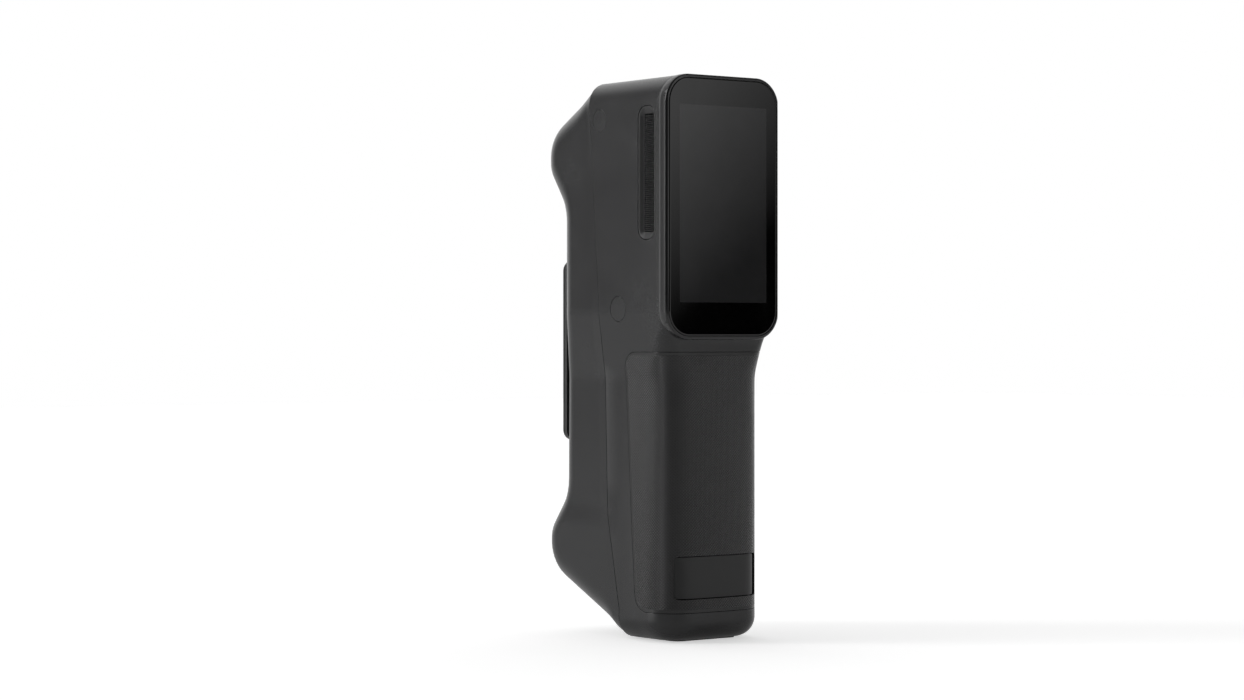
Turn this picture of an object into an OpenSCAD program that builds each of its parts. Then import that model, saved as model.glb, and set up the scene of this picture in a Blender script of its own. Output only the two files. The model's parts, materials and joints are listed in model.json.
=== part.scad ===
// Handheld three-d scanner with a rear touch screen. Lenses face -Y, screen faces +Y, +Z is up.
// A depth is measured forward from the screen glass, a height up from the base.

/* [Overall] */
// Height from the base to the top of the screen rim
total_h = 255; // [250:1:262]
// Depth from the screen glass to the front of the lobes
total_d = 101; // [98:0.5:106]
// Wall of the housing and the front cover
wall = 2.2; // [1.8:0.1:2.6]
// Gap between neighbouring mouldings
seam_gap = 0.2; // [0.1:0.05:0.3]

/* [Screen] */
// Width across the screen rim
rim_w = 65; // [64:0.5:68]
// Height of the screen rim
rim_h = 119; // [116:1:122]
// Corner radius of the screen rim
rim_corner = 13; // [11:0.5:15]
// Depth of the rim's widest band
rim_band = 4; // [3:0.5:5]
// Length of the slope from the rim down to the side panel
rim_slope = 5; // [3:0.5:6]
// Bevel at the rim's screen edge
rim_bevel = 1; // [0.5:0.1:1.3]
// Border between the rim's outside and the glass
rim_border = 1.75; // [1.5:0.05:2.2]
// Thickness of the touch glass
glass_t = 1.1; // [0.8:0.1:1.4]
// Glass on each side of the lit area
active_in = 5.85; // [5.3:0.05:7]
// Glass above the lit area
active_drop = 12; // [10:0.5:14]
// Glass below the lit area
active_rise = 15; // [12:0.5:19]
// Margin of the display panel around its lit area
panel_margin = 1.8; // [1:0.1:2.4]
// Thickness of the display panel
panel_t = 2.2; // [1.6:0.1:2.6]
// Thickness of the metal display frame
frame_t = 1; // [0.8:0.1:1.3]
// Thickness of the bulkhead behind the display
bulkhead_t = 1.6; // [1.2:0.1:2]

/* [Head] */
// How far each side panel lies inside the rim
side_in = 1; // [0.8:0.1:1.5]
// Radius of the long edge between top and side
head_round = 11; // [8:0.5:12]
// Drop of the housing's top below the rim
top_drop = 0.4; // [0.2:0.1:1]
// Depth of the head's back plane, inside the rim
head_back = 2; // [1.5:0.5:3]
// Corner radius of the head's back edges
head_corner = 5; // [4.5:0.5:6]
// How far above the rim's lower edge the neck ends
neck_rise = 12; // [8:1:16]
// How far below the rim's lower edge the neck starts
neck_drop = 17; // [12:1:22]
// Blend radius of the neck's sides
neck_blend = 30; // [20:5:40]

/* [Grip] */
// How far the grip's sides lie inside the rim, under the neck
grip_in = 3.8; // [3:0.1:5]
// How far the grip's sides lie inside the rim, at the base
base_in = 2.5; // [2:0.25:3.5]
// Depth of the grip's back under the neck
grip_back = 3.8; // [3:0.2:5]
// Depth of the grip's back at its base
base_back = 2.8; // [2:0.2:4]
// Radius of the grip's upright back corners
back_corner = 18; // [14:1:20]
// Rounding of the base edge
base_round = 9; // [7:0.5:11]
// Thickness of the rubber sleeve
sleeve_t = 1.6; // [1.2:0.1:2]
// Height of the sleeve's lower edge
sleeve_low = 13.4; // [12.5:0.2:15]
// How far below the rim's lower edge the sleeve ends
sleeve_drop = 5.6; // [2:0.2:10]
// Depth of the sleeve's front edge at its top
sleeve_front_top = 36; // [32:1:38]
// Depth of the sleeve's front edge at its bottom
sleeve_front_low = 27; // [24:1:30]
// Corner radius of the sleeve
sleeve_corner = 8; // [5:1:10]

/* [Front] */
// Height midway between the lobes, above the middle of the height
front_rise = 3.5; // [1.5:0.5:5.5]
// Length of a lobe's flat
lobe_flat = 19.6; // [17:0.2:22]
// Distance from the outer end of a lobe's flat to its lens
lobe_lens = 12.1; // [10:0.1:14]
// Distance from the base up to the lower lobe's flat, before both lobes are raised
lobe_end = 24.9; // [23:0.1:26]
// Length of the slope from a lobe's flat to the recess
lobe_slope = 18; // [15:0.5:21]
// How far the recess lies behind the lobes
recess_drop = 13; // [11:0.5:14]
// Radius of the lobes' outer shoulders
lobe_shoulder = 18; // [14:1:18]
// Radius of the lobes' inner shoulders and of the recess ends
lobe_inside = 16; // [10:1:16]
// Corner radius of the lobes, seen from above
lobe_corner = 14; // [11:1:15]
// Corner radius of the slopes beyond the lobes, seen along each slope
slope_corner = 12; // [10:0.5:12.5]
// How far the recessed stretch lies inside the side panels
recess_in = 0.5; // [0.3:0.1:0.8]
// Corner radius of the recessed stretch, seen from above
recess_corner = 13.5; // [12:0.25:13.75]
// Depth where the top face ends
top_flat = 62; // [60:0.5:66]
// Depth where the base face ends
base_flat = 40; // [38.5:0.5:42]
// Radius where the top and base faces turn into the slopes
flat_round = 8; // [6:1:12]
// Depth of the crease at the top
crease_top = 61; // [60:0.5:62]
// Depth of the crease where its upper stretch ends
crease_high = 59; // [58:0.5:60]
// Depth of the crease beside the scan button
crease_mid = 52.6; // [51.5:0.2:53.5]
// Depth of the crease at the lower lobe
crease_low = 48.3; // [47:0.5:49.5]
// Depth of the crease at the base
crease_base = 38.6; // [37.5:0.5:39.5]
// Length of the front cover's side that stays level with the housing, in front of the crease
crease_band = 5.5; // [4:0.5:7]

/* [Vents] */
// Depth of the vent's centre line
vent_depth = 16; // [15.5:0.5:16.5]
// Width of the vent insert
vent_w = 12.6; // [11:0.2:13]
// Height of the vent insert
vent_h = 60; // [54:1:62]
// Corner radius of the vent insert
vent_round = 5.3; // [4.5:0.1:5.4]
// Distance from the vent insert's upper end to the top of the rim
vent_drop = 14; // [12:1:17]
// Width of the slatted window
slat_w = 6.6; // [6:0.2:7.4]
// Height of the slatted window
slat_h = 53; // [48:1:54]
// Spacing of the slats
slat_pitch = 1.8; // [1.6:0.1:2.4]
// Thickness of a slat
slat_t = 0.8; // [0.6:0.1:1]

/* [Scan button] */
// Radius of the button's cap
button_r = 5.6; // [5:0.1:6.2]
// Depth of the button's centre
button_depth = 37.6; // [37:0.2:38.4]
// Height of the button's centre above the rim's lower edge
button_rise = 14; // [13:0.5:16]
// Travel of the button
button_travel = 0.8; // [0.5:0.1:1]
// Gap round the button's cap
button_gap = 0.25; // [0.2:0.05:0.4]

/* [Port cover] */
// How far the cover's window lies inside the grip's sides
port_in = 7; // [7:0.5:9]
// Height of the cover's lower edge
port_low = 19.4; // [19:0.2:21]
// Height of the cover's window
port_h = 19.4; // [17:0.2:20]
// Step from the sleeve's face down to the cover
port_step = 0.6; // [0.4:0.1:0.8]
// Thickness of the cover
port_t = 1.8; // [1.6:0.1:2]
// Gap round the cover
port_gap = 0.35; // [0.3:0.05:0.5]
// Radius of the hinge pin
pin_r = 0.75; // [0.6:0.05:0.8]
// Running clearance round the hinge pin
pin_fit = 0.05; // [0.03:0.01:0.09]
// Radius of the hinge knuckle
knuckle_r = 1.6; // [1.5:0.05:1.7]
// Depth of the pocket's floor
pocket_floor = 15; // [14.5:0.5:16]
// How far the pocket lies inside the cover's window
pocket_in = 6; // [5:0.5:8]

/* [Lenses] */
// Toe-in of each camera
toe_in = 12; // [8:1:14]
// Outer radius of a lens ring
ring_r = 9.5; // [9:0.1:10.5]
// Thickness of a lens ring
ring_t = 2.4; // [2:0.1:3]
// Sink of the lens seat behind the lobe's tip
seat_sink = 5.4; // [5:0.1:6]
// Radius of a lens glass
lens_r = 6.6; // [6:0.1:7]
// Thickness of a lens glass
lens_t = 1.5; // [1:0.1:2]

/* [Window] */
// How far the window plate lies inside the recess
window_in = 6.5; // [6:0.25:8]
// Distance from each end of the window plate to the end of the recess
window_end = 22.5; // [20:0.5:24]
// How far the window plate stands out of the recess
window_proud = 3; // [2.4:0.1:3.4]
// Corner radius of the window plate
window_corner = 5; // [4:0.5:8]
// Thickness of the window glass
window_glass_t = 1.1; // [0.8:0.1:1.4]
// Margin of the window frame around its opening
window_margin = 5.5; // [5:0.5:7]

/* [Base] */
// Radius of the tripod thread, a quarter inch
tripod_r = 3.175; // [3.1:0.025:3.25]
// Length of the tripod insert
tripod_len = 9; // [7:0.5:11]
// Wall of the tripod insert
tripod_wall = 1.6; // [1.4:0.1:2]
// Depth of the tripod insert's axis
tripod_depth = 24.5; // [24:0.5:26]
// Thickness of the base pad
pad_t = 1.2; // [1:0.1:1.5]
// How far the base pad stands below the housing
pad_proud = 0.4; // [0.2:0.1:0.6]
// How far the base pad lies inside the grip's sides
pad_in = 12; // [11:0.5:14]
// Length of the base pad, front to back
pad_l = 25; // [22:1:25.5]

/* [Inside] */
// Thickness of the circuit boards
board_t = 1.6; // [1.2:0.1:1.8]
// How far the main board lies inside the side panels
board_in = 5; // [4:0.5:7.5]
// How much shorter the main board is than the rim
board_room = 27; // [25:1:31]
// Depth of the main board's back face
board_depth = 24.5; // [24:0.5:26]
// Length of the fins on each side of the fan
fin_l = 8; // [7:0.5:9]
// Thickness of the heat sink's plate
sink_t = 2; // [1.6:0.2:2.4]
// Thickness of the bench plate
bench_t = 2; // [1.6:0.2:2.4]
// How far the bench plate lies inside the recess
bench_in = 11; // [10:0.5:13]
// Distance from the lobes' front to the bench plate's back face
bench_drop = 37; // [36:0.5:38]
// Room beside the battery cells in the grip
cell_side = 2.1; // [1.9:0.1:3]
// Room above the battery cells, up to the neck
cell_room = 4.2; // [2.5:0.1:9]
// Shaft radius of the small screws
screw_r = 1.2; // [1:0.1:1.3]

/* [Hidden] */
$fn = 64;

// Overrun of every cut past the face it leaves
over = 1;
// Steps in each rounded corner of an outline
corner_steps = 6;

screen_y = total_d / 2;
rim_low = total_h - rim_h;
top_z = total_h - top_drop;
side_x = rim_w / 2 - side_in;
grip_w = rim_w - 2 * grip_in;
base_w = rim_w - 2 * base_in;
neck_top = rim_low + neck_rise;
neck_low = rim_low - neck_drop;
plan_top = rim_low + head_corner;
sleeve_top = rim_low - sleeve_drop;
front_mid = total_h / 2 + front_rise;
lobe_outer = total_h / 2 - lobe_end;
lobe_inner = lobe_outer - lobe_flat;
lobe_half = lobe_outer - lobe_lens;
recess_half = lobe_inner - lobe_slope;
recess_w = 2 * (side_x - recess_in);
window_w = recess_w - 2 * window_in;
window_h = 2 * (recess_half - window_end);
button_z = rim_low + button_rise;
vent_low = total_h - vent_drop - vent_h;
port_w = base_w - 2 * port_in;
pocket_w = port_w - 2 * pocket_in;
pad_w = base_w - 2 * pad_in;
glass_w = rim_w - 2 * rim_border;
glass_low = rim_low + rim_border;
glass_h = rim_h - 2 * rim_border;
glass_corner = rim_corner - rim_border;
active_w = glass_w - 2 * active_in;
active_h = glass_h - active_drop - active_rise;
active_top = glass_low + glass_h - active_drop;
panel_depth = glass_t;
frame_depth = panel_depth + panel_t;
tub_depth = frame_depth + frame_t + seam_gap;
inner_back = tub_depth + bulkhead_t;
tub_side = rim_border + wall;
recess_depth = total_d - recess_drop;
grip_inset = sleeve_t + seam_gap + wall;
cavity_split = sleeve_top + seam_gap + wall;
crease_line = [
    [crease_base, -over],
    [crease_base + seam_gap, sleeve_low],
    [crease_low, front_mid - lobe_inner + flat_round],
    [crease_mid, button_z + button_r],
    [crease_high, top_z - head_round - flat_round],
    [crease_top, total_h + over]];

function unit(v) = v / norm(v);
function turned(v, a) = [v[0] * cos(a) - v[1] * sin(a), v[0] * sin(a) + v[1] * cos(a)];
function flat(p) = [p[0], p[1]];
function band(mid, w) = [mid - w / 2, mid + w / 2];

// Points of one rounded corner at p, between its neighbours a and b
function corner(a, p, b, r) =
    let (u = unit(a - p))
    let (v = unit(b - p))
    let (half = acos(u * v) / 2)
    let (mid = p + unit(u + v) * r / sin(half))
    let (arm = p + u * r / tan(half) - mid)
    let (way = cross(arm, p - mid) > 0 ? 1 : -1)
    [for (k = [0 : corner_steps]) mid + turned(arm, way * (180 - 2 * half) * k / corner_steps)];

// An outline from corners given as [x, y, radius]
function rounded(shape) =
    let (n = len(shape))
    [for (i = [0 : n - 1])
        each (shape[i][2] == 0 ? [flat(shape[i])]
            : corner(flat(shape[(i + n - 1) % n]), flat(shape[i]), flat(shape[(i + 1) % n]), shape[i][2]))];

// The same corners moved inwards by d, for an anticlockwise outline
function shrunk(shape, d) =
    let (n = len(shape))
    [for (i = [0 : n - 1])
        let (p = flat(shape[i]))
        let (u = unit(p - flat(shape[(i + n - 1) % n])))
        let (v = unit(flat(shape[(i + 1) % n]) - p))
        let (m = unit(turned(u + v, 90)))
        let (q = p + m * d / (m * turned(u, 90)))
        let (way = cross(u, v) > 0 ? 1 : -1)
        [q[0], q[1], shape[i][2] == 0 ? 0 : max(shape[i][2] - way * d, seam_gap)]];

function mirrored(half) = concat(half, [for (i = [len(half) - 1 : -1 : 0]) [-half[i][0], half[i][1], half[i][2]]]);

// The whole object seen from the side, as [depth, height, radius]
side_shape = [
    [base_back, pad_proud, base_round],
    [base_flat, pad_proud, flat_round],
    [total_d, front_mid - lobe_outer, lobe_shoulder],
    [total_d, front_mid - lobe_inner, lobe_inside],
    [recess_depth, front_mid - recess_half, lobe_inside],
    [recess_depth, front_mid + recess_half, lobe_inside],
    [total_d, front_mid + lobe_inner, lobe_inside],
    [total_d, front_mid + lobe_outer, lobe_shoulder],
    [top_flat, top_z, flat_round],
    [head_back, top_z, 0],
    [head_back, plan_top, 0],
    [grip_back, rim_low - seam_gap, 0],
    [grip_back, neck_low, 0]];

// The housing and the front cover seen from behind, as [x, height, radius]
housing_face = mirrored([
    [base_w / 2, pad_proud, base_round],
    [grip_w / 2, neck_low, neck_blend],
    [side_x, neck_top, neck_blend],
    [side_x, top_z, head_round]]);

function head_plan(d) = shrunk([
    [side_x, screen_y - total_d, 0],
    [side_x, screen_y - head_back, head_corner],
    [-side_x, screen_y - head_back, head_corner],
    [-side_x, screen_y - total_d, 0]], d);
function grip_plan(d) = shrunk([
    [base_w / 2, screen_y - total_d, 0],
    [base_w / 2, screen_y - base_back, back_corner],
    [-base_w / 2, screen_y - base_back, back_corner],
    [-base_w / 2, screen_y - total_d, 0]], d);
function lobe_plan(d) = shrunk([
    [side_x, screen_y - total_d, lobe_corner],
    [side_x, screen_y, 0],
    [-side_x, screen_y, 0],
    [-side_x, screen_y - total_d, lobe_corner]], d);
function recess_plan(d) = shrunk([
    [recess_w / 2, screen_y - recess_depth, recess_corner],
    [recess_w / 2, screen_y, 0],
    [-recess_w / 2, screen_y, 0],
    [-recess_w / 2, screen_y - recess_depth, recess_corner]], d);

// A slab across the width, from points given as [depth, height]
module side_slab(points, w)
    rotate([90, 0, 90])
        linear_extrude(w, center = true)
            polygon([for (p = points) [screen_y - p[0], p[1]]]);

// A slab between two depths, from points given as [x, height]
module face_slab(points, from, to)
    translate([0, screen_y - from, 0])
        rotate([90, 0, 0])
            linear_extrude(to - from)
                polygon(points);

module plan_slab(points, from, to)
    translate([0, 0, from])
        linear_extrude(to - from)
            polygon(points);

// A box by its sides in x, depth and height
module block(x, depth, z)
    translate([x[0], screen_y - depth[1], z[0]])
        cube([x[1] - x[0], depth[1] - depth[0], z[1] - z[0]]);

// A rod that runs forward from one depth to another
module rod_y(x, z, from, to, r)
    translate([x, screen_y - from, z])
        rotate([90, 0, 0])
            cylinder(h = to - from, r = r);

module rod_x(depth, z, from, to, r)
    translate([from, screen_y - depth, z])
        rotate([0, 90, 0])
            cylinder(h = to - from, r = r);

module rod_z(x, depth, from, to, r)
    translate([x, screen_y - depth, from])
        cylinder(h = to - from, r = r);

// A plate with round corners that faces the back or the front
module face_plate(w, low, h, r, from, to)
    face_slab(rounded([[w / 2, low, r], [w / 2, low + h, r], [-w / 2, low + h, r], [-w / 2, low, r]]),
        from, to);

// Both sides, left being +X
module both_sides()
    for (side = [0, 1])
        mirror([side, 0, 0])
            children();

// Everything behind or in front of the crease
module rear_zone()
    side_slab(concat([[-over, -over]], crease_line, [[-over, total_h + over]]), rim_w + 2 * over);
module front_zone()
    side_slab(concat([[total_d + over, total_h + over]],
        [for (i = [len(crease_line) - 1 : -1 : 0]) crease_line[i] + [seam_gap, 0]],
        [[total_d + over, -over]]), rim_w + 2 * over);

// The housing's outer form, moved inwards by d
module housing_form(d)
    intersection() {
        side_slab(rounded(shrunk(side_shape, d)), rim_w);
        face_slab(rounded(shrunk(housing_face, d)), -over, total_d);
        union() {
            plan_slab(rounded(head_plan(d)), plan_top, total_h + over);
            plan_slab(rounded(grip_plan(d)), -over, neck_low);
            hull() {
                plan_slab(rounded(head_plan(d)), plan_top, plan_top + seam_gap);
                plan_slab(rounded(grip_plan(d)), neck_low - seam_gap, neck_low);
            }
        }
    }

// Everything under the slope from a to b, given as [depth, height], with both edges of the slope rounded
module slope_zone(a, b, d)
    translate([0, screen_y - a[0], a[1]])
        rotate([atan2(b[0] - a[0], b[1] - a[1]), 0, 0])
            translate([0, 0, -total_h])
                linear_extrude(2 * total_h)
                    polygon(rounded(shrunk([
                        [side_x, 0, slope_corner],
                        [side_x, 2 * total_h, 0],
                        [-side_x, 2 * total_h, 0],
                        [-side_x, 0, slope_corner]], d)));

// The front cover's outer form, moved inwards by d
module cover_form(d)
    intersection() {
        slope_zone(side_shape[1], side_shape[2], d);
        slope_zone(side_shape[7], side_shape[8], d);
        side_slab(rounded(shrunk(side_shape, d)), rim_w);
        face_slab(rounded(shrunk(housing_face, d)), -over, total_d);
        plan_slab(rounded(lobe_plan(d)), -over, total_h + over);
        union() {
            plan_slab(rounded(recess_plan(d)), -over, total_h + over);
            plan_slab(rounded(lobe_plan(d)), -over, front_mid - recess_half - d);
            plan_slab(rounded(lobe_plan(d)), front_mid + recess_half + d, total_h + over);
            intersection() {
                plan_slab(rounded(lobe_plan(d)), -over, total_h + over);
                side_slab(concat([[-over, -over]], [for (p = crease_line) p + [crease_band, 0]],
                    [[-over, total_h + over]]), rim_w);
            }
        }
    }

rim_plan = [
    [rim_w / 2 - rim_bevel, screen_y],
    [rim_w / 2, screen_y - rim_bevel],
    [rim_w / 2, screen_y - rim_band],
    [side_x - seam_gap, screen_y - rim_band - rim_slope],
    [seam_gap - side_x, screen_y - rim_band - rim_slope],
    [-rim_w / 2, screen_y - rim_band],
    [-rim_w / 2, screen_y - rim_bevel],
    [rim_bevel - rim_w / 2, screen_y]];

module rim_form()
    intersection() {
        face_plate(rim_w, rim_low, rim_h, rim_corner, 0, rim_band + rim_slope);
        plan_slab(rim_plan, -over, total_h + over);
    }

// The space that the sleeve fills, grown by g at its edges
module sleeve_zone(g)
    side_slab(rounded([
        [-rim_band, sleeve_low - g, 0],
        [sleeve_front_low + g, sleeve_low - g, sleeve_corner],
        [sleeve_front_top + g, sleeve_top + g, sleeve_corner],
        [-rim_band, sleeve_top + g, 0]]), rim_w);

// Port cover: the hinge is at the -X end, just under the sleeve's inner face
port_mid = port_low + port_h / 2;
hinge_x = port_w / 2 - port_gap - knuckle_r;
corner_mid_x = base_w / 2 - back_corner;
hinge_orbit = back_corner - sleeve_t - seam_gap - pin_r - port_gap / 2;
hinge_tilt = asin((hinge_x - corner_mid_x) / hinge_orbit);
hinge_depth = base_back + back_corner - hinge_orbit * cos(hinge_tilt);
swing_r = back_corner - port_step - hinge_orbit + port_gap;
window_floor = hinge_depth + knuckle_r + port_gap;
pin_reach = port_h / 2 + wall;

module port_window(g, from, to)
    face_plate(port_w + 2 * g, port_low - g, port_h + 2 * g, port_step + knuckle_r + g, from, to);

// Values of the lens frames
barrel_r = lens_r - seam_gap;
barrel_len = 11;
camera_side = 22;
camera_len = 11;
camera_back = seat_sink + seam_gap + barrel_len + camera_len;

// Moves to a lens frame: origin on the lobe's tip, +Y into the object along the optical axis
module lens_frame(side)
    translate([0, screen_y - total_d, front_mid + side * lobe_half])
        rotate([side * toe_in, 0, 0])
            children();

module lens_disc(r, from, to)
    translate([0, from, 0])
        rotate([-90, 0, 0])
            cylinder(h = to - from, r = r);

// Bosses, screws and their places
boss_r = 3.2;
head_r = 2.3;
head_t = 1.4;
board_w = 2 * (side_x - board_in);
board_h = rim_h - board_room;
bench_w = recess_w - 2 * bench_in;
bench_depth = total_d - bench_drop;
board_low = top_z - wall - head_back - board_h - over;
boss_x = board_w / 2 - boss_r - seam_gap;
boss_z = [board_low + boss_r + seam_gap, board_low + board_h - boss_r - seam_gap];
bench_front = bench_depth + bench_t;
bench_boss_x = recess_w / 2 - wall - recess_corner;
bench_boss_z = [front_mid - window_h / 2 - boss_r * 2, front_mid + window_h / 2 + boss_r * 2];
plug_r = 5;
plug_t = 1.2;
plug_back = 7;
plug_depth = crease_high - plug_back;
plug_drop = 18;
plug_z = top_z - plug_drop;
tab_t = 2.6;
tab_w = 9;
tab_reach = 12;

// Both rows of small screws into the bosses
module at_board_bosses()
    for (z = boss_z)
        both_sides()
            translate([boss_x, 0, z])
                children();
module at_bench_bosses()
    for (z = bench_boss_z)
        both_sides()
            translate([bench_boss_x, 0, z])
                children();

vent_mid = vent_low + vent_h / 2;
module vent_shape(g, from, to)
    translate([from, screen_y - vent_depth, 0])
        rotate([90, 0, 90])
            linear_extrude(to - from)
                polygon(rounded([
                    [vent_w / 2 + g, vent_low - g, vent_round + g],
                    [vent_w / 2 + g, vent_low + vent_h + g, vent_round + g],
                    [-vent_w / 2 - g, vent_low + vent_h + g, vent_round + g],
                    [-vent_w / 2 - g, vent_low - g, vent_round + g]]));

module rear_housing()
    color("#3b3b3d")
    difference() {
        union() {
            difference() {
                union() {
                    intersection() {
                        housing_form(0);
                        rear_zone();
                    }
                    rim_form();
                }
                intersection() {
                    housing_form(wall);
                    block([-side_x, side_x], [inner_back, total_d], [cavity_split, total_h]);
                    rear_zone();
                }
                intersection() {
                    housing_form(grip_inset);
                    block([-side_x, side_x], [0, total_d], [0, cavity_split + seam_gap]);
                    rear_zone();
                }
                difference() {
                    sleeve_zone(seam_gap);
                    housing_form(sleeve_t + seam_gap);
                }
            }
            port_pocket_walls();
            tripod_boss();
            plug_bosses();
            button_ribs();
            at_board_bosses()
                rod_y(0, 0, inner_back - over, board_depth - board_t, boss_r);
        }
        face_plate(glass_w + 2 * seam_gap, glass_low - seam_gap, glass_h + 2 * seam_gap,
            glass_corner, -over, glass_t);
        face_plate(rim_w - 2 * tub_side, rim_low + tub_side, rim_h - 2 * tub_side,
            rim_corner - tub_side, 0, tub_depth);
        ribbon_slot();
        both_sides()
            vent_shape(seam_gap, side_x - 2 * wall, side_x + wall);
        rod_x(button_depth, button_z, side_x - 2 * wall, side_x + over, button_r + button_gap);
        port_window(0, 0, window_floor);
        port_pocket();
        rod_z(-hinge_x, hinge_depth, port_mid - pin_reach, port_mid + pin_reach, pin_r + pin_fit / 2);
        plug_cuts();
        at_board_bosses()
            rod_y(0, 0, inner_back, board_depth, screw_r + pin_fit);
        base_cuts();
    }

// Moves to the hinge: +Y out of the grip, +X towards the cover's free end
module hinge_frame()
    translate([-hinge_x, screen_y - hinge_depth, 0])
        rotate([0, 0, hinge_tilt])
            children();

// Room that the cover's hinged end sweeps
module hinge_room()
    hinge_frame() {
        translate([0, 0, port_low + seam_gap])
            cylinder(h = port_h - 2 * seam_gap, r = swing_r);
        translate([-swing_r, 0, port_low + seam_gap])
            cube([2 * swing_r, back_corner, port_h - 2 * seam_gap]);
    }

module port_pocket_walls()
    intersection() {
        housing_form(sleeve_t + seam_gap);
        block([-port_w / 2 - wall, port_w / 2 + wall], [0, pocket_floor + wall],
            [port_low - wall - pin_r, port_low + port_h + wall + pin_r]);
    }

module port_pocket() {
    hinge_room();
    block([-pocket_w / 2, pocket_w / 2], [0, pocket_floor], [port_low + port_gap, port_low + port_h - port_gap]);
    for (x = socket_x)
        block([x - socket_w / 2 - seam_gap, x + socket_w / 2 + seam_gap], [0, pocket_floor + 2 * wall],
            [port_mid - socket_h / 2 - seam_gap, port_mid + socket_h / 2 + seam_gap]);
    rod_y(0, port_mid, pocket_floor, charge_depth + over, screw_r + pin_fit);
}

// Sockets and the charge board behind the pocket
socket_w = 9;
socket_h = 3.3;
socket_len = 7;
socket_skin = 0.4;
socket_mouth = pocket_floor - board_t / 2;
socket_gap = 3.25;
socket_mid = socket_w / 2 + socket_gap + pin_fit + screw_r;
socket_x = [-socket_mid, socket_mid];
charge_depth = socket_mouth + socket_len;
charge_low = port_low - wall / 2;
charge_h = port_h + 2 * wall;
charge_w = pocket_w + 2 * wall;

// Tripod insert in its boss
insert_r = tripod_r + tripod_wall;
insert_low = 2 * pad_proud;
boss_top = insert_low + tripod_len + wall;

module tripod_boss()
    rod_z(0, tripod_depth, wall, boss_top, insert_r + wall);

module pad_outline(g, from, to)
    plan_slab(rounded([
        [pad_w / 2 + g, screen_y - tripod_depth - pad_l / 2 - g, base_round / 2],
        [pad_w / 2 + g, screen_y - tripod_depth + pad_l / 2 + g, base_round / 2],
        [-pad_w / 2 - g, screen_y - tripod_depth + pad_l / 2 + g, base_round / 2],
        [-pad_w / 2 - g, screen_y - tripod_depth - pad_l / 2 - g, base_round / 2]]), from, to);

module base_cuts() {
    pad_outline(seam_gap, -over, pad_t);
    rod_z(0, tripod_depth, -over, insert_low + tripod_len, insert_r + pin_fit);
}

// Button parts behind the side panel
cap_out = side_x - seam_gap / 2;
flange_t = 1;
flange_in = side_x - wall - 2 * flange_t;
stem_r = 1.5;
stem_in = flange_in - 4 * flange_t;
switch_side = 8;
switch_in = stem_in - 2 * button_travel;
switch_out = flange_in - button_travel - flange_t;
switch_board_in = switch_in - board_t;
rib_t = wall;
rib_z = button_r + flange_t + rib_t / 2 + 2 * seam_gap;

module button_ribs()
    for (side = [-1, 1])
        translate([0, 0, button_z + side * rib_z])
            block([switch_in, side_x - wall / 2], [button_depth - switch_side / 2, button_depth + switch_side / 2],
                [-rib_t / 2, rib_t / 2]);

// Ribbon from the display through the bulkhead to the main board
panel_low = active_top - active_h - panel_margin;
ribbon_w = 14;
ribbon_t = 0.4;
ribbon_z = rim_low + tub_side + 3 * rim_bevel;
ribbon_back = panel_depth + ribbon_t;

module ribbon_slot()
    block([-ribbon_w / 2 - over, ribbon_w / 2 + over], [0, inner_back + over],
        [ribbon_z - ribbon_t, ribbon_z + 2 * ribbon_t]);

// Screw plugs and the front cover's side tabs
plug_boss_r = head_r + wall;
plug_boss_in = side_x - 2 * wall;
screw_seat = side_x - plug_t - 2 * seam_gap - head_t;
tab_out = plug_boss_in - seam_gap;
tab_in = tab_out - tab_t;
hook_out = base_w / 2 - grip_inset - 2 * seam_gap;

module plug_bosses()
    both_sides()
        rod_x(plug_depth, plug_z, plug_boss_in, side_x - wall / 2, plug_boss_r);

module plug_cuts()
    both_sides() {
        rod_x(plug_depth, plug_z, side_x - plug_t - seam_gap, side_x + over, plug_r + seam_gap / 2);
        rod_x(plug_depth, plug_z, screw_seat, side_x, head_r + seam_gap);
        rod_x(plug_depth, plug_z, plug_boss_in - over, side_x, screw_r + seam_gap);
    }

// A tab that reaches back behind the housing's side, joined to the cover's wall
module side_tab(z, from, out) {
    block([out - tab_t, out], [from, from + tab_reach + tab_w], [z - tab_w / 2, z + tab_w / 2]);
    intersection() {
        cover_form(0);
        block([out - tab_t, side_x], [from + tab_reach, from + tab_reach + tab_w],
            [z - tab_w / 2, z + tab_w / 2]);
    }
}

hook_z = front_mid - lobe_half - flat_round;
hook_depth = crease_low - tab_w;

// Window, bench and what the bench carries
window_sunk = 0.6;
bench_screw_len = 9;
bench_low = front_mid - lobe_half - 2 * flat_round;
bench_h = 2 * (front_mid - bench_low);
bench_hole_h = window_h / 3;
bench_hole_mid = bench_boss_z[1] - front_mid + boss_r + bench_hole_h / 2 + wall;
projector_w = window_h / 3;
projector_l = 13;
colour_side = 10;
light_z = projector_w;
light_r = 2;
light_x_shares = [-0.36, -0.12, 0.12, 0.36];

// Main board, heat sink and fan
chip_side = 17;
chip_t = 1.2;
board_screw_len = 9;
sink_front = board_depth - board_t - chip_t;
sink_w = board_w + 2 * over;
sink_low = vent_low + wall;
sink_h = vent_h - 2 * wall;
fin_pitch = 4;
fin_t = 0.9;
fin_count = floor((sink_h - fin_t) / fin_pitch) + 1;
fan_front = sink_front - sink_t;
fan_back = inner_back + 2 * over;
fan_side = board_w - 2 * fin_l;
web_t = 1.4;
fan_bore_r = fan_side / 2 - web_t;
web_holes = 3;
hub_r = 7.5;
shaft_r = 1;
rotor_back = fan_back + over;
rotor_front = fan_front - web_t - port_gap;
blade_count = 9;
blade_t = 0.9;

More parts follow.
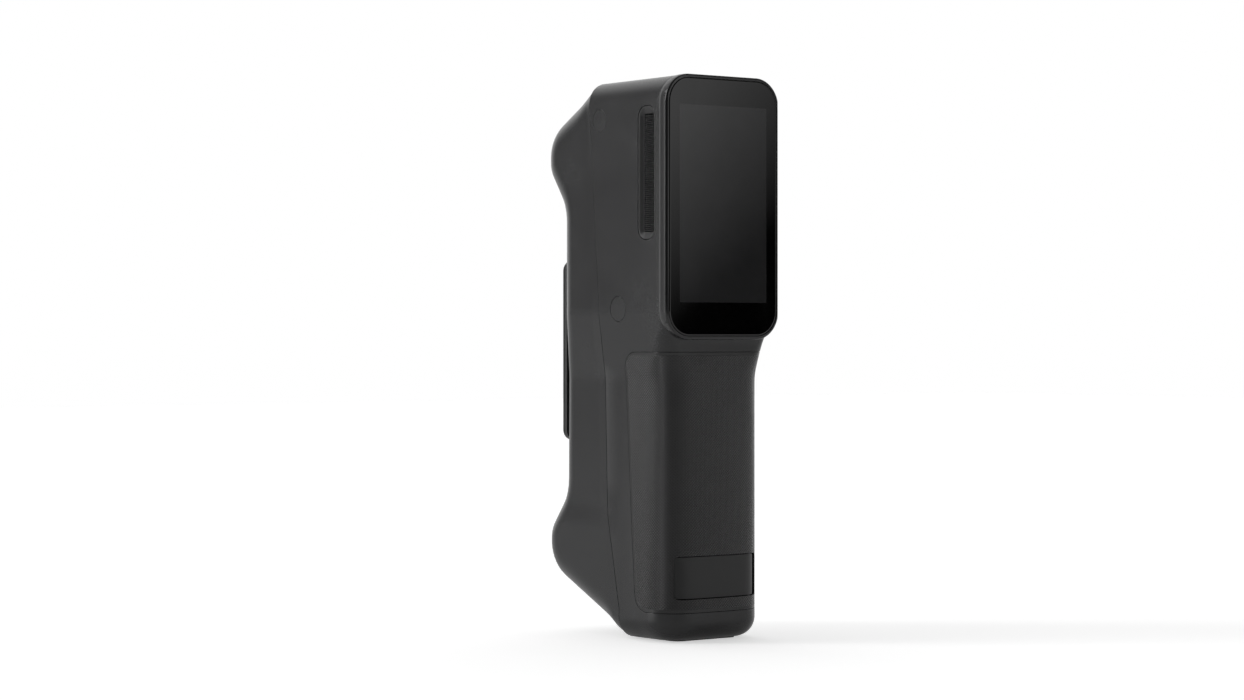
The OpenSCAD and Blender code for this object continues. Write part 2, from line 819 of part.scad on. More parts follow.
// Battery cells in their cradle
cradle_t = 1.2;
cell_r = (grip_w / 2 - grip_inset - cell_side - cradle_t - seam_gap) / 2;
cell_x = cell_r + seam_gap;
cell_depth = grip_back + grip_inset + seam_gap + cradle_t + cell_r;
cell_low = charge_low + charge_h + cradle_t + over;
cell_len = neck_low - cell_room - cell_low;
cradle_x = cell_x + cell_r + cradle_t;

module front_cover()
    color("#39393b")
    difference() {
        union() {
            difference() {
                intersection() {
                    cover_form(0);
                    front_zone();
                }
                cover_form(wall);
            }
            for (side = [-1, 1])
                intersection() {
                    cover_form(0);
                    lens_frame(side)
                        lens_disc(ring_r + wall, -seat_sink, seat_sink + wall);
                }
            at_bench_bosses()
                rod_y(0, 0, bench_front, recess_depth - wall / 2, boss_r);
            both_sides() {
                side_tab(plug_z, plug_depth - tab_w / 2, tab_out);
                side_tab(hook_z, hook_depth, hook_out);
            }
        }
        for (side = [-1, 1])
            lens_frame(side) {
                lens_disc(ring_r + seam_gap / 2, -total_d / 2, seat_sink);
                lens_disc(lens_r, 0, seat_sink + 2 * wall);
            }
        face_plate(window_w + 2 * seam_gap, front_mid - window_h / 2 - seam_gap, window_h + 2 * seam_gap,
            window_corner + seam_gap, recess_depth - window_sunk, total_d + over);
        face_plate(window_w - 2 * window_margin, front_mid - window_h / 2 + window_margin,
            window_h - 2 * window_margin, window_corner, bench_front, total_d);
        at_bench_bosses()
            rod_y(0, 0, bench_depth, bench_depth + bench_screw_len, screw_r + pin_fit);
        both_sides()
            rod_x(plug_depth, plug_z, tab_in - over, tab_out + over, screw_r + pin_fit);
    }

module grip_sleeve()
    color("#2e2e30")
    difference() {
        intersection() {
            difference() {
                housing_form(0);
                housing_form(sleeve_t);
            }
            sleeve_zone(0);
        }
        port_window(0, -over, total_d / 2);
        hinge_room();
    }

module touch_glass()
    color("#101012")
    face_plate(glass_w, glass_low, glass_h, glass_corner, 0, glass_t);

module display_panel()
    color("#25252a")
    face_plate(active_w + 2 * panel_margin, panel_low, active_h + 2 * panel_margin, panel_margin,
        panel_depth, frame_depth);

module display_frame()
    color("#8f9296")
    difference() {
        face_plate(rim_w - 2 * tub_side - 2 * seam_gap, panel_low - rim_bevel,
            rim_low + rim_h - tub_side - seam_gap - panel_low + rim_bevel,
            rim_corner - tub_side - seam_gap, frame_depth, frame_depth + frame_t);
        for (side = [-1, 1])
            face_plate(active_w / 2, panel_low + active_h / 2 + side * active_h / 4 - active_h / 6,
                active_h / 3, panel_margin, 0, total_d);
    }

module display_ribbon()
    color("#b9762c") {
        block([-ribbon_w / 2, ribbon_w / 2], [panel_depth, ribbon_back], [ribbon_z, panel_low]);
        block([-ribbon_w / 2, ribbon_w / 2], [panel_depth, board_depth + ribbon_t],
            [ribbon_z, ribbon_z + ribbon_t]);
        block([-ribbon_w / 2, ribbon_w / 2], [board_depth, board_depth + ribbon_t],
            [ribbon_z, board_low + boss_r]);
    }

module vent_insert(side)
    color("#2a2a2c")
    mirror([side, 0, 0]) {
        difference() {
            vent_shape(0, side_x - wall, side_x - seam_gap);
            vent_window(side_x - 2 * wall, side_x + over);
        }
        for (k = [1 : slat_count])
            block([side_x - wall, side_x - wall / 2],
                [vent_depth - slat_w / 2 - seam_gap, vent_depth + slat_w / 2 + seam_gap],
                band(vent_mid - slat_h / 2 + k * slat_pitch, slat_t));
    }

slat_count = floor(slat_h / slat_pitch) - 1;
module vent_window(from, to)
    block([from, to], [vent_depth - slat_w / 2, vent_depth + slat_w / 2],
        [vent_mid - slat_h / 2, vent_mid + slat_h / 2]);

module scan_button()
    color("#3a3a3c") {
        rod_x(button_depth, button_z, flange_in, cap_out, button_r);
        rod_x(button_depth, button_z, flange_in, flange_in + flange_t, button_r + flange_t);
        rod_x(button_depth, button_z, stem_in, flange_in, stem_r);
    }

module button_switch()
    color("#2f5d3a")
    difference() {
        union() {
            block([switch_board_in, switch_in], [button_depth - switch_side / 2, button_depth + switch_side / 2],
                [button_z - rib_z - rib_t / 2, button_z + rib_z + rib_t / 2]);
            block([switch_in, switch_out], [button_depth - switch_side / 2, button_depth + switch_side / 2],
                [button_z - switch_side / 2, button_z + switch_side / 2]);
        }
        rod_x(button_depth, button_z, switch_in, side_x, stem_r + seam_gap);
    }

module port_cover()
    color("#303032")
    difference() {
        union() {
            difference() {
                intersection() {
                    housing_form(port_step);
                    port_window(-port_gap, 0, total_d / 2);
                }
                housing_form(port_step + port_t);
                hinge_frame()
                    translate([-port_w, -port_w, 0])
                        cube([port_w, 2 * port_w, total_h]);
            }
            hinge_frame()
                translate([0, 0, port_low + port_gap + seam_gap])
                    cylinder(h = port_h - 2 * (port_gap + seam_gap), r = knuckle_r);
        }
        rod_z(-hinge_x, hinge_depth, 0, total_h, pin_r + pin_fit);
    }

module hinge_pin()
    color("#b8bcc0")
    rod_z(-hinge_x, hinge_depth, port_mid - pin_reach, port_mid + pin_reach, pin_r);

module screw_plugs()
    color("#343436")
    both_sides()
        rod_x(plug_depth, plug_z, side_x - plug_t - seam_gap / 2, side_x - seam_gap / 2, plug_r);

module cover_screws()
    color("#8a8d90")
    both_sides() {
        rod_x(plug_depth, plug_z, screw_seat, screw_seat + head_t, head_r);
        rod_x(plug_depth, plug_z, tab_in, screw_seat + over, screw_r);
    }

module window_frame()
    color("#2b2b2d")
    difference() {
        face_plate(window_w, front_mid - window_h / 2, window_h, window_corner,
            recess_depth - window_sunk, recess_depth + window_proud - window_glass_t);
        face_plate(window_w - 2 * window_margin, front_mid - window_h / 2 + window_margin,
            window_h - 2 * window_margin, window_corner, 0, total_d);
    }

module window_glass()
    color("#0c0d10")
    face_plate(window_w - seam_gap, front_mid - window_h / 2 + seam_gap / 2, window_h - seam_gap,
        window_corner, recess_depth + window_proud - window_glass_t, recess_depth + window_proud);

module lens_ring(side)
    color("#1d1d1f")
    lens_frame(side)
        difference() {
            lens_disc(ring_r, seat_sink - ring_t, seat_sink);
            lens_disc(lens_r + seam_gap / 2, 0, seat_sink - 2 * seam_gap);
            lens_disc(lens_r - over, 0, seat_sink + over);
        }

module lens_glass(side)
    color("#15181e")
    lens_frame(side)
        lens_disc(lens_r, seat_sink - 2 * seam_gap - lens_t, seat_sink - 2 * seam_gap);

module camera(side)
    color("#4a4c50") {
        lens_frame(side) {
            lens_disc(barrel_r, seat_sink + seam_gap, camera_back - camera_len + over);
            translate([-camera_side / 2, camera_back - camera_len, -camera_side / 2])
                cube([camera_side, camera_len, camera_side]);
        }
    }

module optical_bench()
    color("#9aa0a6")
    difference() {
        union() {
            face_plate(bench_w, bench_low, bench_h, boss_r, bench_depth, bench_front);
            for (side = [-1, 1])
                intersection() {
                    lens_frame(side)
                        translate([-camera_side / 2, camera_back, -camera_side / 2])
                            cube([camera_side, camera_side, camera_side]);
                    block([-side_x, side_x], [bench_front - over, total_d], [0, total_h]);
                }
        }
        at_bench_bosses()
            rod_y(0, 0, 0, total_d, screw_r + seam_gap);
        for (side = [-1, 1])
            face_plate(bench_w - 4 * boss_r, front_mid + side * bench_hole_mid - bench_hole_h / 2,
                bench_hole_h, boss_r, 0, total_d);
    }

module bench_screws()
    color("#8a8d90")
    at_bench_bosses() {
        rod_y(0, 0, bench_depth - head_t, bench_depth, head_r);
        rod_y(0, 0, bench_depth - over, bench_depth + bench_screw_len, screw_r);
    }

module projector()
    color("#505458") {
        block([-projector_w / 2, projector_w / 2], [bench_front, bench_front + projector_l],
            [front_mid - projector_w / 2, front_mid + projector_w / 2]);
        rod_y(0, front_mid, bench_front + projector_l - over, bench_front + projector_l + barrel_r, barrel_r);
    }

module colour_camera()
    color("#303338") {
        block([-colour_side / 2, colour_side / 2], [bench_front, bench_front + projector_l],
            [front_mid + light_z - colour_side / 2, front_mid + light_z + colour_side / 2]);
        rod_y(0, front_mid + light_z, bench_front, bench_front + projector_l + colour_side / 2, colour_side / 3);
    }

module fill_lights()
    color("#d8d4c4") {
        block([-projector_w / 2, projector_w / 2], [bench_front, bench_front + board_t],
            [front_mid - light_z - colour_side / 2, front_mid - light_z + colour_side / 2]);
        for (x = light_x_shares)
            rod_y(x * projector_w, front_mid - light_z, bench_front, bench_front + colour_side / 2, light_r);
    }

module main_board()
    color("#1f4d2e")
    difference() {
        union() {
            face_plate(board_w, board_low, board_h, boss_r, board_depth - board_t, board_depth);
            block([-chip_side / 2, chip_side / 2], [board_depth - board_t - chip_t, board_depth],
                [vent_mid - chip_side / 2, vent_mid + chip_side / 2]);
            block([-chip_side, chip_side], [board_depth, board_depth + head_t],
                [vent_mid - chip_side, vent_mid + chip_side / 2]);
            block([-ribbon_w, ribbon_w], [board_depth, board_depth + 2 * head_t],
                [board_low + 2 * boss_r, board_low + 2 * boss_r + socket_w / 2]);
        }
        at_board_bosses()
            rod_y(0, 0, 0, total_d, screw_r + seam_gap);
    }

module board_screws()
    color("#8a8d90") {
        at_board_bosses() {
            rod_y(0, 0, board_depth - board_screw_len, board_depth + over, screw_r);
            rod_y(0, 0, board_depth, board_depth + head_t, head_r);
        }
        rod_y(0, port_mid, pocket_floor + over, charge_depth + board_t + over, screw_r);
        rod_y(0, port_mid, charge_depth + board_t, charge_depth + board_t + head_t, head_r);
    }

module heat_sink()
    color("#a4a8ac") {
        block([-sink_w / 2, sink_w / 2], [sink_front - sink_t, sink_front], [sink_low, sink_low + sink_h]);
        for (k = [0 : fin_count - 1])
            both_sides()
                block([fan_side / 2 + over, sink_w / 2], [fan_back, sink_front],
                    band(sink_low + fin_t / 2 + k * fin_pitch, fin_t));
    }

module fan_frame()
    color("#222224") {
        difference() {
            face_plate(fan_side, vent_mid - fan_side / 2, fan_side, boss_r, inner_back, fan_front);
            rod_y(0, vent_mid, 0, fan_front - web_t, fan_bore_r);
            for (k = [0 : web_holes - 1])
                translate([0, 0, vent_mid])
                    rotate([0, k * 360 / web_holes, 0])
                        rod_y((hub_r + fan_bore_r) / 2, 0, 0, total_d, (fan_bore_r - hub_r) / 2 - over);
            block([-side_x, side_x], [fan_back, fan_front - web_t - over],
                [vent_mid - hub_r, vent_mid + hub_r]);
        }
        rod_y(0, vent_mid, fan_back, fan_front - web_t / 2, shaft_r);
    }

module fan_rotor()
    color("#3c3c40")
    difference() {
        union() {
            rod_y(0, vent_mid, rotor_back, rotor_front, hub_r);
            for (k = [0 : blade_count - 1])
                translate([0, 0, vent_mid])
                    rotate([0, k * 360 / blade_count, 0])
                        block([hub_r - over, fan_bore_r - over], [rotor_back, rotor_front], [-blade_t / 2, blade_t / 2]);
        }
        rod_y(0, vent_mid, 0, total_d, shaft_r + pin_fit);
    }

module battery_cells()
    color("#2f6f9f")
    for (side = [-1, 1])
        rod_z(side * cell_x, cell_depth, cell_low, cell_low + cell_len, cell_r);

module battery_cradle()
    color("#232325")
    difference() {
        plan_slab(rounded([
            [cradle_x, screen_y - cell_depth - cell_r / 2, 0],
            [cradle_x, screen_y - cell_depth + cell_r + cradle_t, cell_r],
            [-cradle_x, screen_y - cell_depth + cell_r + cradle_t, cell_r],
            [-cradle_x, screen_y - cell_depth - cell_r / 2, 0]]),
            cell_low - cradle_t, cell_low + cell_len + cradle_t);
        for (side = [-1, 1])
            rod_z(side * cell_x, cell_depth, cell_low, cell_low + cell_len, cell_r + pin_fit);
        block([-cell_x - cell_r / 2, cell_x + cell_r / 2], [cell_depth, total_d], [cell_low, cell_low + cell_len]);
    }

module charge_board()
    color("#1f4d2e")
    difference() {
        face_plate(charge_w, charge_low, charge_h, boss_r, charge_depth, charge_depth + board_t);
        rod_y(0, port_mid, 0, total_d, screw_r + seam_gap);
    }

module port_sockets()
    color("#c0c4c8")
    for (x = socket_x) {
        difference() {
            block([x - socket_w / 2, x + socket_w / 2], [socket_mouth, charge_depth],
                [port_mid - socket_h / 2, port_mid + socket_h / 2]);
            block([x - socket_w / 2 + socket_skin, x + socket_w / 2 - socket_skin],
                [socket_mouth - over, charge_depth - over],
                [port_mid - socket_h / 2 + socket_skin, port_mid + socket_h / 2 - socket_skin]);
        }
        block([x - socket_w / 3, x + socket_w / 3], [socket_mouth + over, charge_depth],
            [port_mid - socket_skin, port_mid + socket_skin]);
    }

module tripod_insert()
    color("#c9a24a")
    difference() {
        rod_z(0, tripod_depth, insert_low, insert_low + tripod_len, insert_r);
        rod_z(0, tripod_depth, -over, total_h, tripod_r);
    }

module base_pad()
    color("#262628")
    difference() {
        pad_outline(0, 0, pad_t);
        rod_z(0, tripod_depth, -over, total_h, insert_r + over);
    }

rear_housing();
front_cover();
grip_sleeve();
touch_glass();
display_panel();
display_frame();
display_ribbon();
vent_insert(0);  // vent_insert_left
vent_insert(1);  // vent_insert_right
scan_button();
button_switch();
port_cover();
hinge_pin();
screw_plugs();
cover_screws();
window_frame();
window_glass();
lens_ring(1);  // upper_lens_ring
lens_ring(-1);  // lower_lens_ring
lens_glass(1);  // upper_lens_glass
lens_glass(-1);  // lower_lens_glass
camera(1);  // upper_camera
camera(-1);  // lower_camera
optical_bench();
bench_screws();
projector();
colour_camera();
fill_lights();
main_board();
board_screws();
heat_sink();
fan_frame();
fan_rotor();
battery_cells();
battery_cradle();
charge_board();
port_sockets();
tripod_insert();
base_pad();
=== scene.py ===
import json
import math

import bmesh
import bpy
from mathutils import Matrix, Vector
from mathutils.bvhtree import BVHTree
from mathutils.interpolate import poly_3d_calc


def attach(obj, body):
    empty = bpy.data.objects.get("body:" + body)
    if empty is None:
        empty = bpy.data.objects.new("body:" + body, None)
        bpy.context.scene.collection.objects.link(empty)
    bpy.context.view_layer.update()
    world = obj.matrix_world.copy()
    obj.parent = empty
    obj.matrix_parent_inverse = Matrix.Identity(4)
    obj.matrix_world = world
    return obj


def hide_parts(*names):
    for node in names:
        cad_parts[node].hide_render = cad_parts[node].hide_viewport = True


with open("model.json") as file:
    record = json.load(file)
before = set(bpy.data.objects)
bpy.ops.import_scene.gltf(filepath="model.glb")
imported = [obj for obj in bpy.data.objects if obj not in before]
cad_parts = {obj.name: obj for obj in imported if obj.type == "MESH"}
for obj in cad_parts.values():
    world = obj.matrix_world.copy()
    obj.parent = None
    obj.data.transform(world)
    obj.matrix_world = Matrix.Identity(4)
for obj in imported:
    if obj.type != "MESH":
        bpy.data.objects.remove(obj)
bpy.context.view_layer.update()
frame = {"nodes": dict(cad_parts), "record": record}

MM = 0.001

# Main sizes in millimetres; depth runs from the screen's glass to the front
SCREEN_Y = 50.5
RIM_W, RIM_LOW, RIM_H, RIM_CORNER, RIM_BAND, RIM_SLOPE = 65.0, 136.0, 119.0, 13.0, 4.0, 5.0
GLASS_INSET = 1.75
LIT_W, LIT_H, LIT_Z = 49.8, 88.5, 197.0
TOP_Z, MIDDLE_Z = 254.6, 131
VENT_DEPTH, VENT_Z = 16, 211
SLATS, SLAT_PITCH, SLAT_LENGTH = 58, 0.9, 6.9
WINDOW_W, WINDOW_LOW, WINDOW_HIGH, WINDOW_CORNER = 49.0, 88.5, 173.5, 5.0
LENS_REACH, LENS_TILT = 90.5, 12.0

# The base's and the top's round edges: radius and height where the side panels start
BASE_R, BASE_EDGE, TOP_EDGE = 9, 9.4, 243.6

# The grip's round back corner: its circle's middle and radius, and a radius just inside its facets
CORNER_X, CORNER_DEPTH, CORNER_R, FORM_R = 12, 20.8, 18, 17.8

# The head's back corner, and the stretch over which the grip's shape turns into the head's
HEAD_FLAT, HEAD_R = 26.5, 5
NECK_Z, NECK_RUN = 119.8, 22

# The sleeve's ends, and the round that its wrap map is measured along
SLEEVE_LOW, SLEEVE_HIGH = 13.4, 130.4
WRAP_R, WRAP_DEPTH = 17.5, 22.0

# How far a smooth form stays inside the solids' faces, and the steps of its corners
SKIN = 0.05
CORNER_STEPS, ARC_STEPS = 14, 28

# A face takes a form's normals when it lies this near and turns this much the same way
NEAR_FORM = 0.012
SAME_WAY, OWN_WAY = 0.8, 0.93


def at(x, depth, z):
    return Vector((x, SCREEN_Y - depth, z)) * MM


# Camera
def photo_camera():
    data = bpy.data.cameras.new("photo_camera")
    data.lens = 81.8
    data.sensor_width = 36.0
    data.shift_y = -0.01125
    data.clip_start = 0.05
    camera = bpy.data.objects.new("photo_camera", data)
    camera.location = (0.7943, 1.0470, 0.1377)
    camera.rotation_euler = (math.radians(90), 0, math.radians(143.5))
    bpy.context.scene.collection.objects.link(camera)
    bpy.context.scene.camera = camera


photo_camera()
bpy.context.scene.view_settings.view_transform = "Standard"


# Shader nodes
class Value:
    """A shader socket. Its operators add Math nodes."""

    def __init__(self, nodes, socket):
        self.nodes = nodes
        self.socket = socket

    def math(self, operation, *values, clamp=False):
        sockets = dict(enumerate(values))
        return self.nodes.add("ShaderNodeMath", {"operation": operation, "use_clamp": clamp}, sockets)

    def __add__(self, other):
        return self.math("ADD", self, other)

    __radd__ = __add__

    def __sub__(self, other):
        return self.math("SUBTRACT", self, other)

    def __rsub__(self, other):
        return self.math("SUBTRACT", other, self)

    def __mul__(self, other):
        return self.math("MULTIPLY", self, other)

    __rmul__ = __mul__

    def __truediv__(self, other):
        return self.math("DIVIDE", self, other)

    def over(self, edge, soft):
        """0 below the edge, 1 above it, with a soft step."""
        return self.nodes.add("ShaderNodeMapRange", {"interpolation_type": "SMOOTHSTEP"},
                              {"Value": self, "From Min": edge - soft, "From Max": edge + soft})

    def clamped(self):
        return self.math("ADD", self, 0.0, clamp=True)

    def absolute(self):
        return self.math("ABSOLUTE", self)

    def folded(self):
        """0 to a half and back over each whole step."""
        return self.math("PINGPONG", self, 0.5)

    def at_most(self, other):
        return self.math("MINIMUM", self, other)

    def at_least(self, other):
        return self.math("MAXIMUM", self, other)

    def ramp(self, stops):
        return self.nodes.add("ShaderNodeValToRGB", {"stops": stops}, {"Fac": self})


class Rows:
    """A node tree and the ways to fill it."""

    def __init__(self, tree):
        self.tree = tree

    def add(self, kind, settings=None, sockets=None, output=0):
        node = self.tree.nodes.new(kind)
        for name, value in (settings or {}).items():
            if name == "stops":
                self.set_stops(node.color_ramp, value)
            else:
                setattr(node, name, value)
        for name, value in (sockets or {}).items():
            if isinstance(value, Value):
                self.tree.links.new(value.socket, node.inputs[name])
            else:
                node.inputs[name].default_value = value
        return Value(self, node.outputs[output]) if len(node.outputs) else node

    def set_stops(self, ramp, stops):
        while len(ramp.elements) < len(stops):
            ramp.elements.new(0.5)
        for element, (place, _) in zip(ramp.elements, stops):
            element.position = place
        for element, (_, level) in zip(ramp.elements, stops):
            element.color = (level, level, level, 1)

    def split(self, vector):
        parts = self.tree.nodes.new("ShaderNodeSeparateXYZ")
        self.tree.links.new(vector.socket, parts.inputs[0])
        return [Value(self, out) for out in parts.outputs]

    def mix(self, factor, first, second):
        node = self.tree.nodes.new("ShaderNodeMix")
        node.data_type = "RGBA"
        for name, value in (("Factor_Float", factor), ("A_Color", first), ("B_Color", second)):
            socket = next(s for s in node.inputs if s.identifier == name)
            if isinstance(value, Value):
                self.tree.links.new(value.socket, socket)
            else:
                socket.default_value = (*value, 1) if isinstance(value, tuple) else value
        return Value(self, next(s for s in node.outputs if s.identifier == "Result_Color"))


class Nodes(Rows):
    """The node tree of a material or of the world."""

    def __init__(self, owner):
        owner.use_nodes = True
        super().__init__(owner.node_tree)
        self.tree.nodes.clear()


class Finish(Nodes):
    """A material of the object."""

    def __init__(self, name):
        self.material = bpy.data.materials.new(name)
        super().__init__(self.material)
        self.place = self.add("ShaderNodeTexCoord", output="Object")

    def noise(self, size, detail=2.0, stretch=(1, 1, 1), roughness=0.5):
        """Noise with patches of that size in millimetres."""
        place = self.add("ShaderNodeVectorMath", {"operation": "MULTIPLY"},
                         {0: self.place, 1: tuple(s / (size * MM) for s in stretch)})
        return self.add("ShaderNodeTexNoise", {}, {"Vector": place, "Scale": 1.0, "Detail": detail,
                                                   "Roughness": roughness})

    def cells(self, scale):
        """The distance to the middle of the nearest cell."""
        return self.add("ShaderNodeTexVoronoi", {"feature": "F1"}, {"Vector": self.place, "Scale": scale},
                        output="Distance")

    def rounded_normal(self, radius):
        return self.add("ShaderNodeBevel", {"samples": 4}, {"Radius": radius * MM})

    def edge(self, normal):
        """1 along the outer edges, 0 on the faces."""
        flat = self.add("ShaderNodeNewGeometry", output="Normal")
        same = self.add("ShaderNodeVectorMath", {"operation": "DOT_PRODUCT"}, {0: normal, 1: flat},
                        output="Value")
        return ((1 - same) * 6.0).clamped()

    def bump(self, height, depth, normal=None):
        sockets = {"Height": height, "Distance": depth * MM, "Strength": 1.0}
        if normal is not None:
            sockets["Normal"] = normal
        return self.add("ShaderNodeBump", {}, sockets)

    def surface(self, **sockets):
        names = {name.replace("_", " "): value for name, value in sockets.items()}
        for name, value in names.items():
            if isinstance(value, tuple) and len(value) == 3:
                names[name] = (*value, 1)
        shader = self.add("ShaderNodeBsdfPrincipled", {}, names)
        self.add("ShaderNodeOutputMaterial", {}, {"Surface": shader})
        return self.material


def scaled(colour, factor):
    return tuple(part * factor for part in colour)


# Finishes
def satin_plastic(name, colour, rough, grain, depth, wear, painted_rim_shade=False):
    """Moulded plastic with a fine spark grain, faint clouds and edges rubbed lighter."""
    f = Finish(name)
    normal = f.rounded_normal(0.35)
    grain_height = f.noise(grain, detail=3.0)
    cloud = f.noise(22.0, detail=3.0)
    rub = f.noise(2.5, detail=4.0, roughness=0.7)
    tone = f.mix(cloud.over(0.5, 0.3), scaled(colour, 0.88), scaled(colour, 1.12))
    edge = f.edge(normal) * (rub.over(0.42, 0.2) * wear)
    base = f.mix(edge.clamped(), tone, scaled(colour, 2.4))
    roughness = rough - 0.04 + cloud * 0.06 + grain_height * 0.04 - edge * 0.08
    if painted_rim_shade:
        # The narrow frame round the glass is coloured darker as painted shade, and is also made glossier.
        _, y, _ = f.split(f.place)
        ring = (y / MM).over(SCREEN_Y - 0.75, 0.3)
        base = f.mix(ring, base, scaled(colour, 0.7))
        roughness = roughness - ring * 0.2
    return f.surface(Base_Color=base, Roughness=roughness, Normal=f.bump(grain_height, depth, normal))


def knurled_rubber(name, colour):
    """Rubber moulded with a fine diamond knurl, read from the piece's own wrap map."""
    f = Finish(name)
    normal = f.rounded_normal(0.5)
    wrap = f.add("ShaderNodeUVMap", {"uv_map": "wrap"})
    across, up, _ = f.split(wrap)
    pitch = 1.4
    rising = ((across + up) / pitch).folded() * 2.0
    falling = ((across - up) / pitch).folded() * 2.0
    diamond = rising.at_most(falling)
    field = f.add("ShaderNodeUVMap", {"uv_map": "border"})
    inset, _, _ = f.split(field)
    inside = inset.over(1.5, 0.2)
    skin = f.noise(0.18, detail=2.0)
    cloud = f.noise(16.0, detail=3.0)
    height = diamond.over(0.35, 0.35) * inside + skin * 0.06
    tone = f.mix(cloud.over(0.5, 0.3), scaled(colour, 0.88), scaled(colour, 1.12))
    # Painted highlight: all the sleeve's outer edges are coloured lighter, standing in for light along its seams.
    edge = f.edge(normal) * 0.6
    # Painted highlight: the knurl's tips are coloured lighter, as if light caught them.
    tips_painted_light = f.mix((diamond.over(0.6, 0.3) * inside * 0.5).clamped(), tone, scaled(colour, 1.8))
    base = f.mix(edge.clamped(), tips_painted_light, scaled(colour, 3.0))
    roughness = 0.23 - diamond * inside * 0.03 + cloud * 0.04
    return f.surface(Base_Color=base, Roughness=roughness, Normal=f.bump(height, 0.15, normal))


def screen_finish(name):
    """Polished cover glass, black behind its border and a little lighter over the lit area."""
    f = Finish(name)
    x, _, z = f.split(f.place)
    across = x.absolute() / MM - LIT_W / 2
    up = (z / MM - LIT_Z).absolute() - LIT_H / 2
    outside = across.at_least(up).over(0.0, 0.12)
    cloud = f.noise(14.0, detail=4.0)
    smear = f.noise(9.0, detail=3.0, stretch=(1.0, 1.0, 0.25))
    lit = f.mix(cloud.over(0.5, 0.35), (0.027, 0.027, 0.028), (0.031, 0.031, 0.032))
    base = f.mix(outside, lit, (0.0015, 0.0015, 0.0016))
    rough = 0.035 + smear.over(0.6, 0.12) * 0.03
    return f.surface(Base_Color=base, Roughness=rough, Normal=f.bump(f.noise(30.0, detail=1.0), 0.002),
                     Coat_Weight=0.15, Coat_Roughness=0.03)


def dark_glass(name, colour, rough=0.05):
    f = Finish(name)
    cloud = f.noise(8.0, detail=3.0)
    base = f.mix(cloud.over(0.5, 0.3), scaled(colour, 0.8), scaled(colour, 1.2))
    return f.surface(Base_Color=base, Roughness=rough + cloud * 0.03,
                     Normal=f.bump(f.noise(25.0, detail=1.0), 0.002), Coat_Weight=0.5, Coat_Roughness=0.03)


def machined_metal(name, colour, rough, stretch=(1.0, 1.0, 14.0)):
    f = Finish(name)
    normal = f.rounded_normal(0.15)
    lines = f.noise(1.4, detail=5.0, stretch=stretch, roughness=0.7)
    cloud = f.noise(9.0, detail=3.0)
    edge = f.edge(normal) * 0.5
    tone = f.mix(lines, scaled(colour, 0.78), scaled(colour, 1.12))
    base = f.mix(edge.clamped(), tone, scaled(colour, 1.3))
    return f.surface(Base_Color=base, Metallic=1.0, Roughness=rough + lines * 0.14 + cloud * 0.08,
                     Normal=f.bump(lines, 0.006, normal))


def board_finish(name):
    """Solder mask over copper tracks and pads."""
    f = Finish(name)
    tracks = f.add("ShaderNodeTexBrick", {"offset": 0.5}, {
        "Vector": f.add("ShaderNodeVectorMath", {"operation": "SCALE"}, {0: f.place, "Scale": 1 / MM}),
        "Scale": 0.28, "Mortar Size": 0.03, "Mortar Smooth": 0.2}, output="Fac")
    pad = 1 - f.cells(380.0).over(0.16, 0.04)
    cloud = f.noise(6.0, detail=4.0)
    mask = f.mix(cloud.over(0.5, 0.3), (0.008, 0.055, 0.022), (0.014, 0.08, 0.034))
    laid = f.mix((tracks * 0.6).clamped(), mask, (0.03, 0.14, 0.06))
    base = f.mix(pad, laid, (0.55, 0.42, 0.2))
    return f.surface(Base_Color=base, Metallic=pad * 0.9, Roughness=0.34 + cloud * 0.12,
                     Normal=f.bump(tracks + pad * 0.5, 0.03))


def film_finish(name, colour):
    f = Finish(name)
    lines = f.noise(0.5, detail=1.0, stretch=(1.0, 0.02, 0.02))
    cloud = f.noise(7.0, detail=3.0)
    base = f.mix(lines.over(0.5, 0.1), scaled(colour, 0.8), scaled(colour, 1.15))
    return f.surface(Base_Color=base, Roughness=0.34 + cloud * 0.1, Normal=f.bump(lines, 0.02))


def lamp_finish(name):
    """A white board with clear domes."""
    f = Finish(name)
    dome = 1 - f.cells(240.0).over(0.35, 0.1)
    cloud = f.noise(5.0, detail=2.0)
    base = f.mix(dome, (0.78, 0.78, 0.74), (0.85, 0.74, 0.32))
    return f.surface(Base_Color=base, Roughness=0.22 + cloud * 0.2, Normal=f.bump(dome, 0.2))


def lens_finish(name):
    """Coated lens glass: nearly black, blue towards the rim."""
    f = Finish(name)
    cloud = f.noise(5.0, detail=2.0)
    base = f.mix(cloud.over(0.5, 0.3), (0.006, 0.009, 0.02), (0.012, 0.01, 0.026))
    return f.surface(Base_Color=base, Roughness=0.04 + cloud * 0.02, Coat_Weight=1.0, Coat_Roughness=0.02,
                     Coat_Tint=(0.75, 0.8, 1.0), Normal=f.bump(cloud, 0.001))


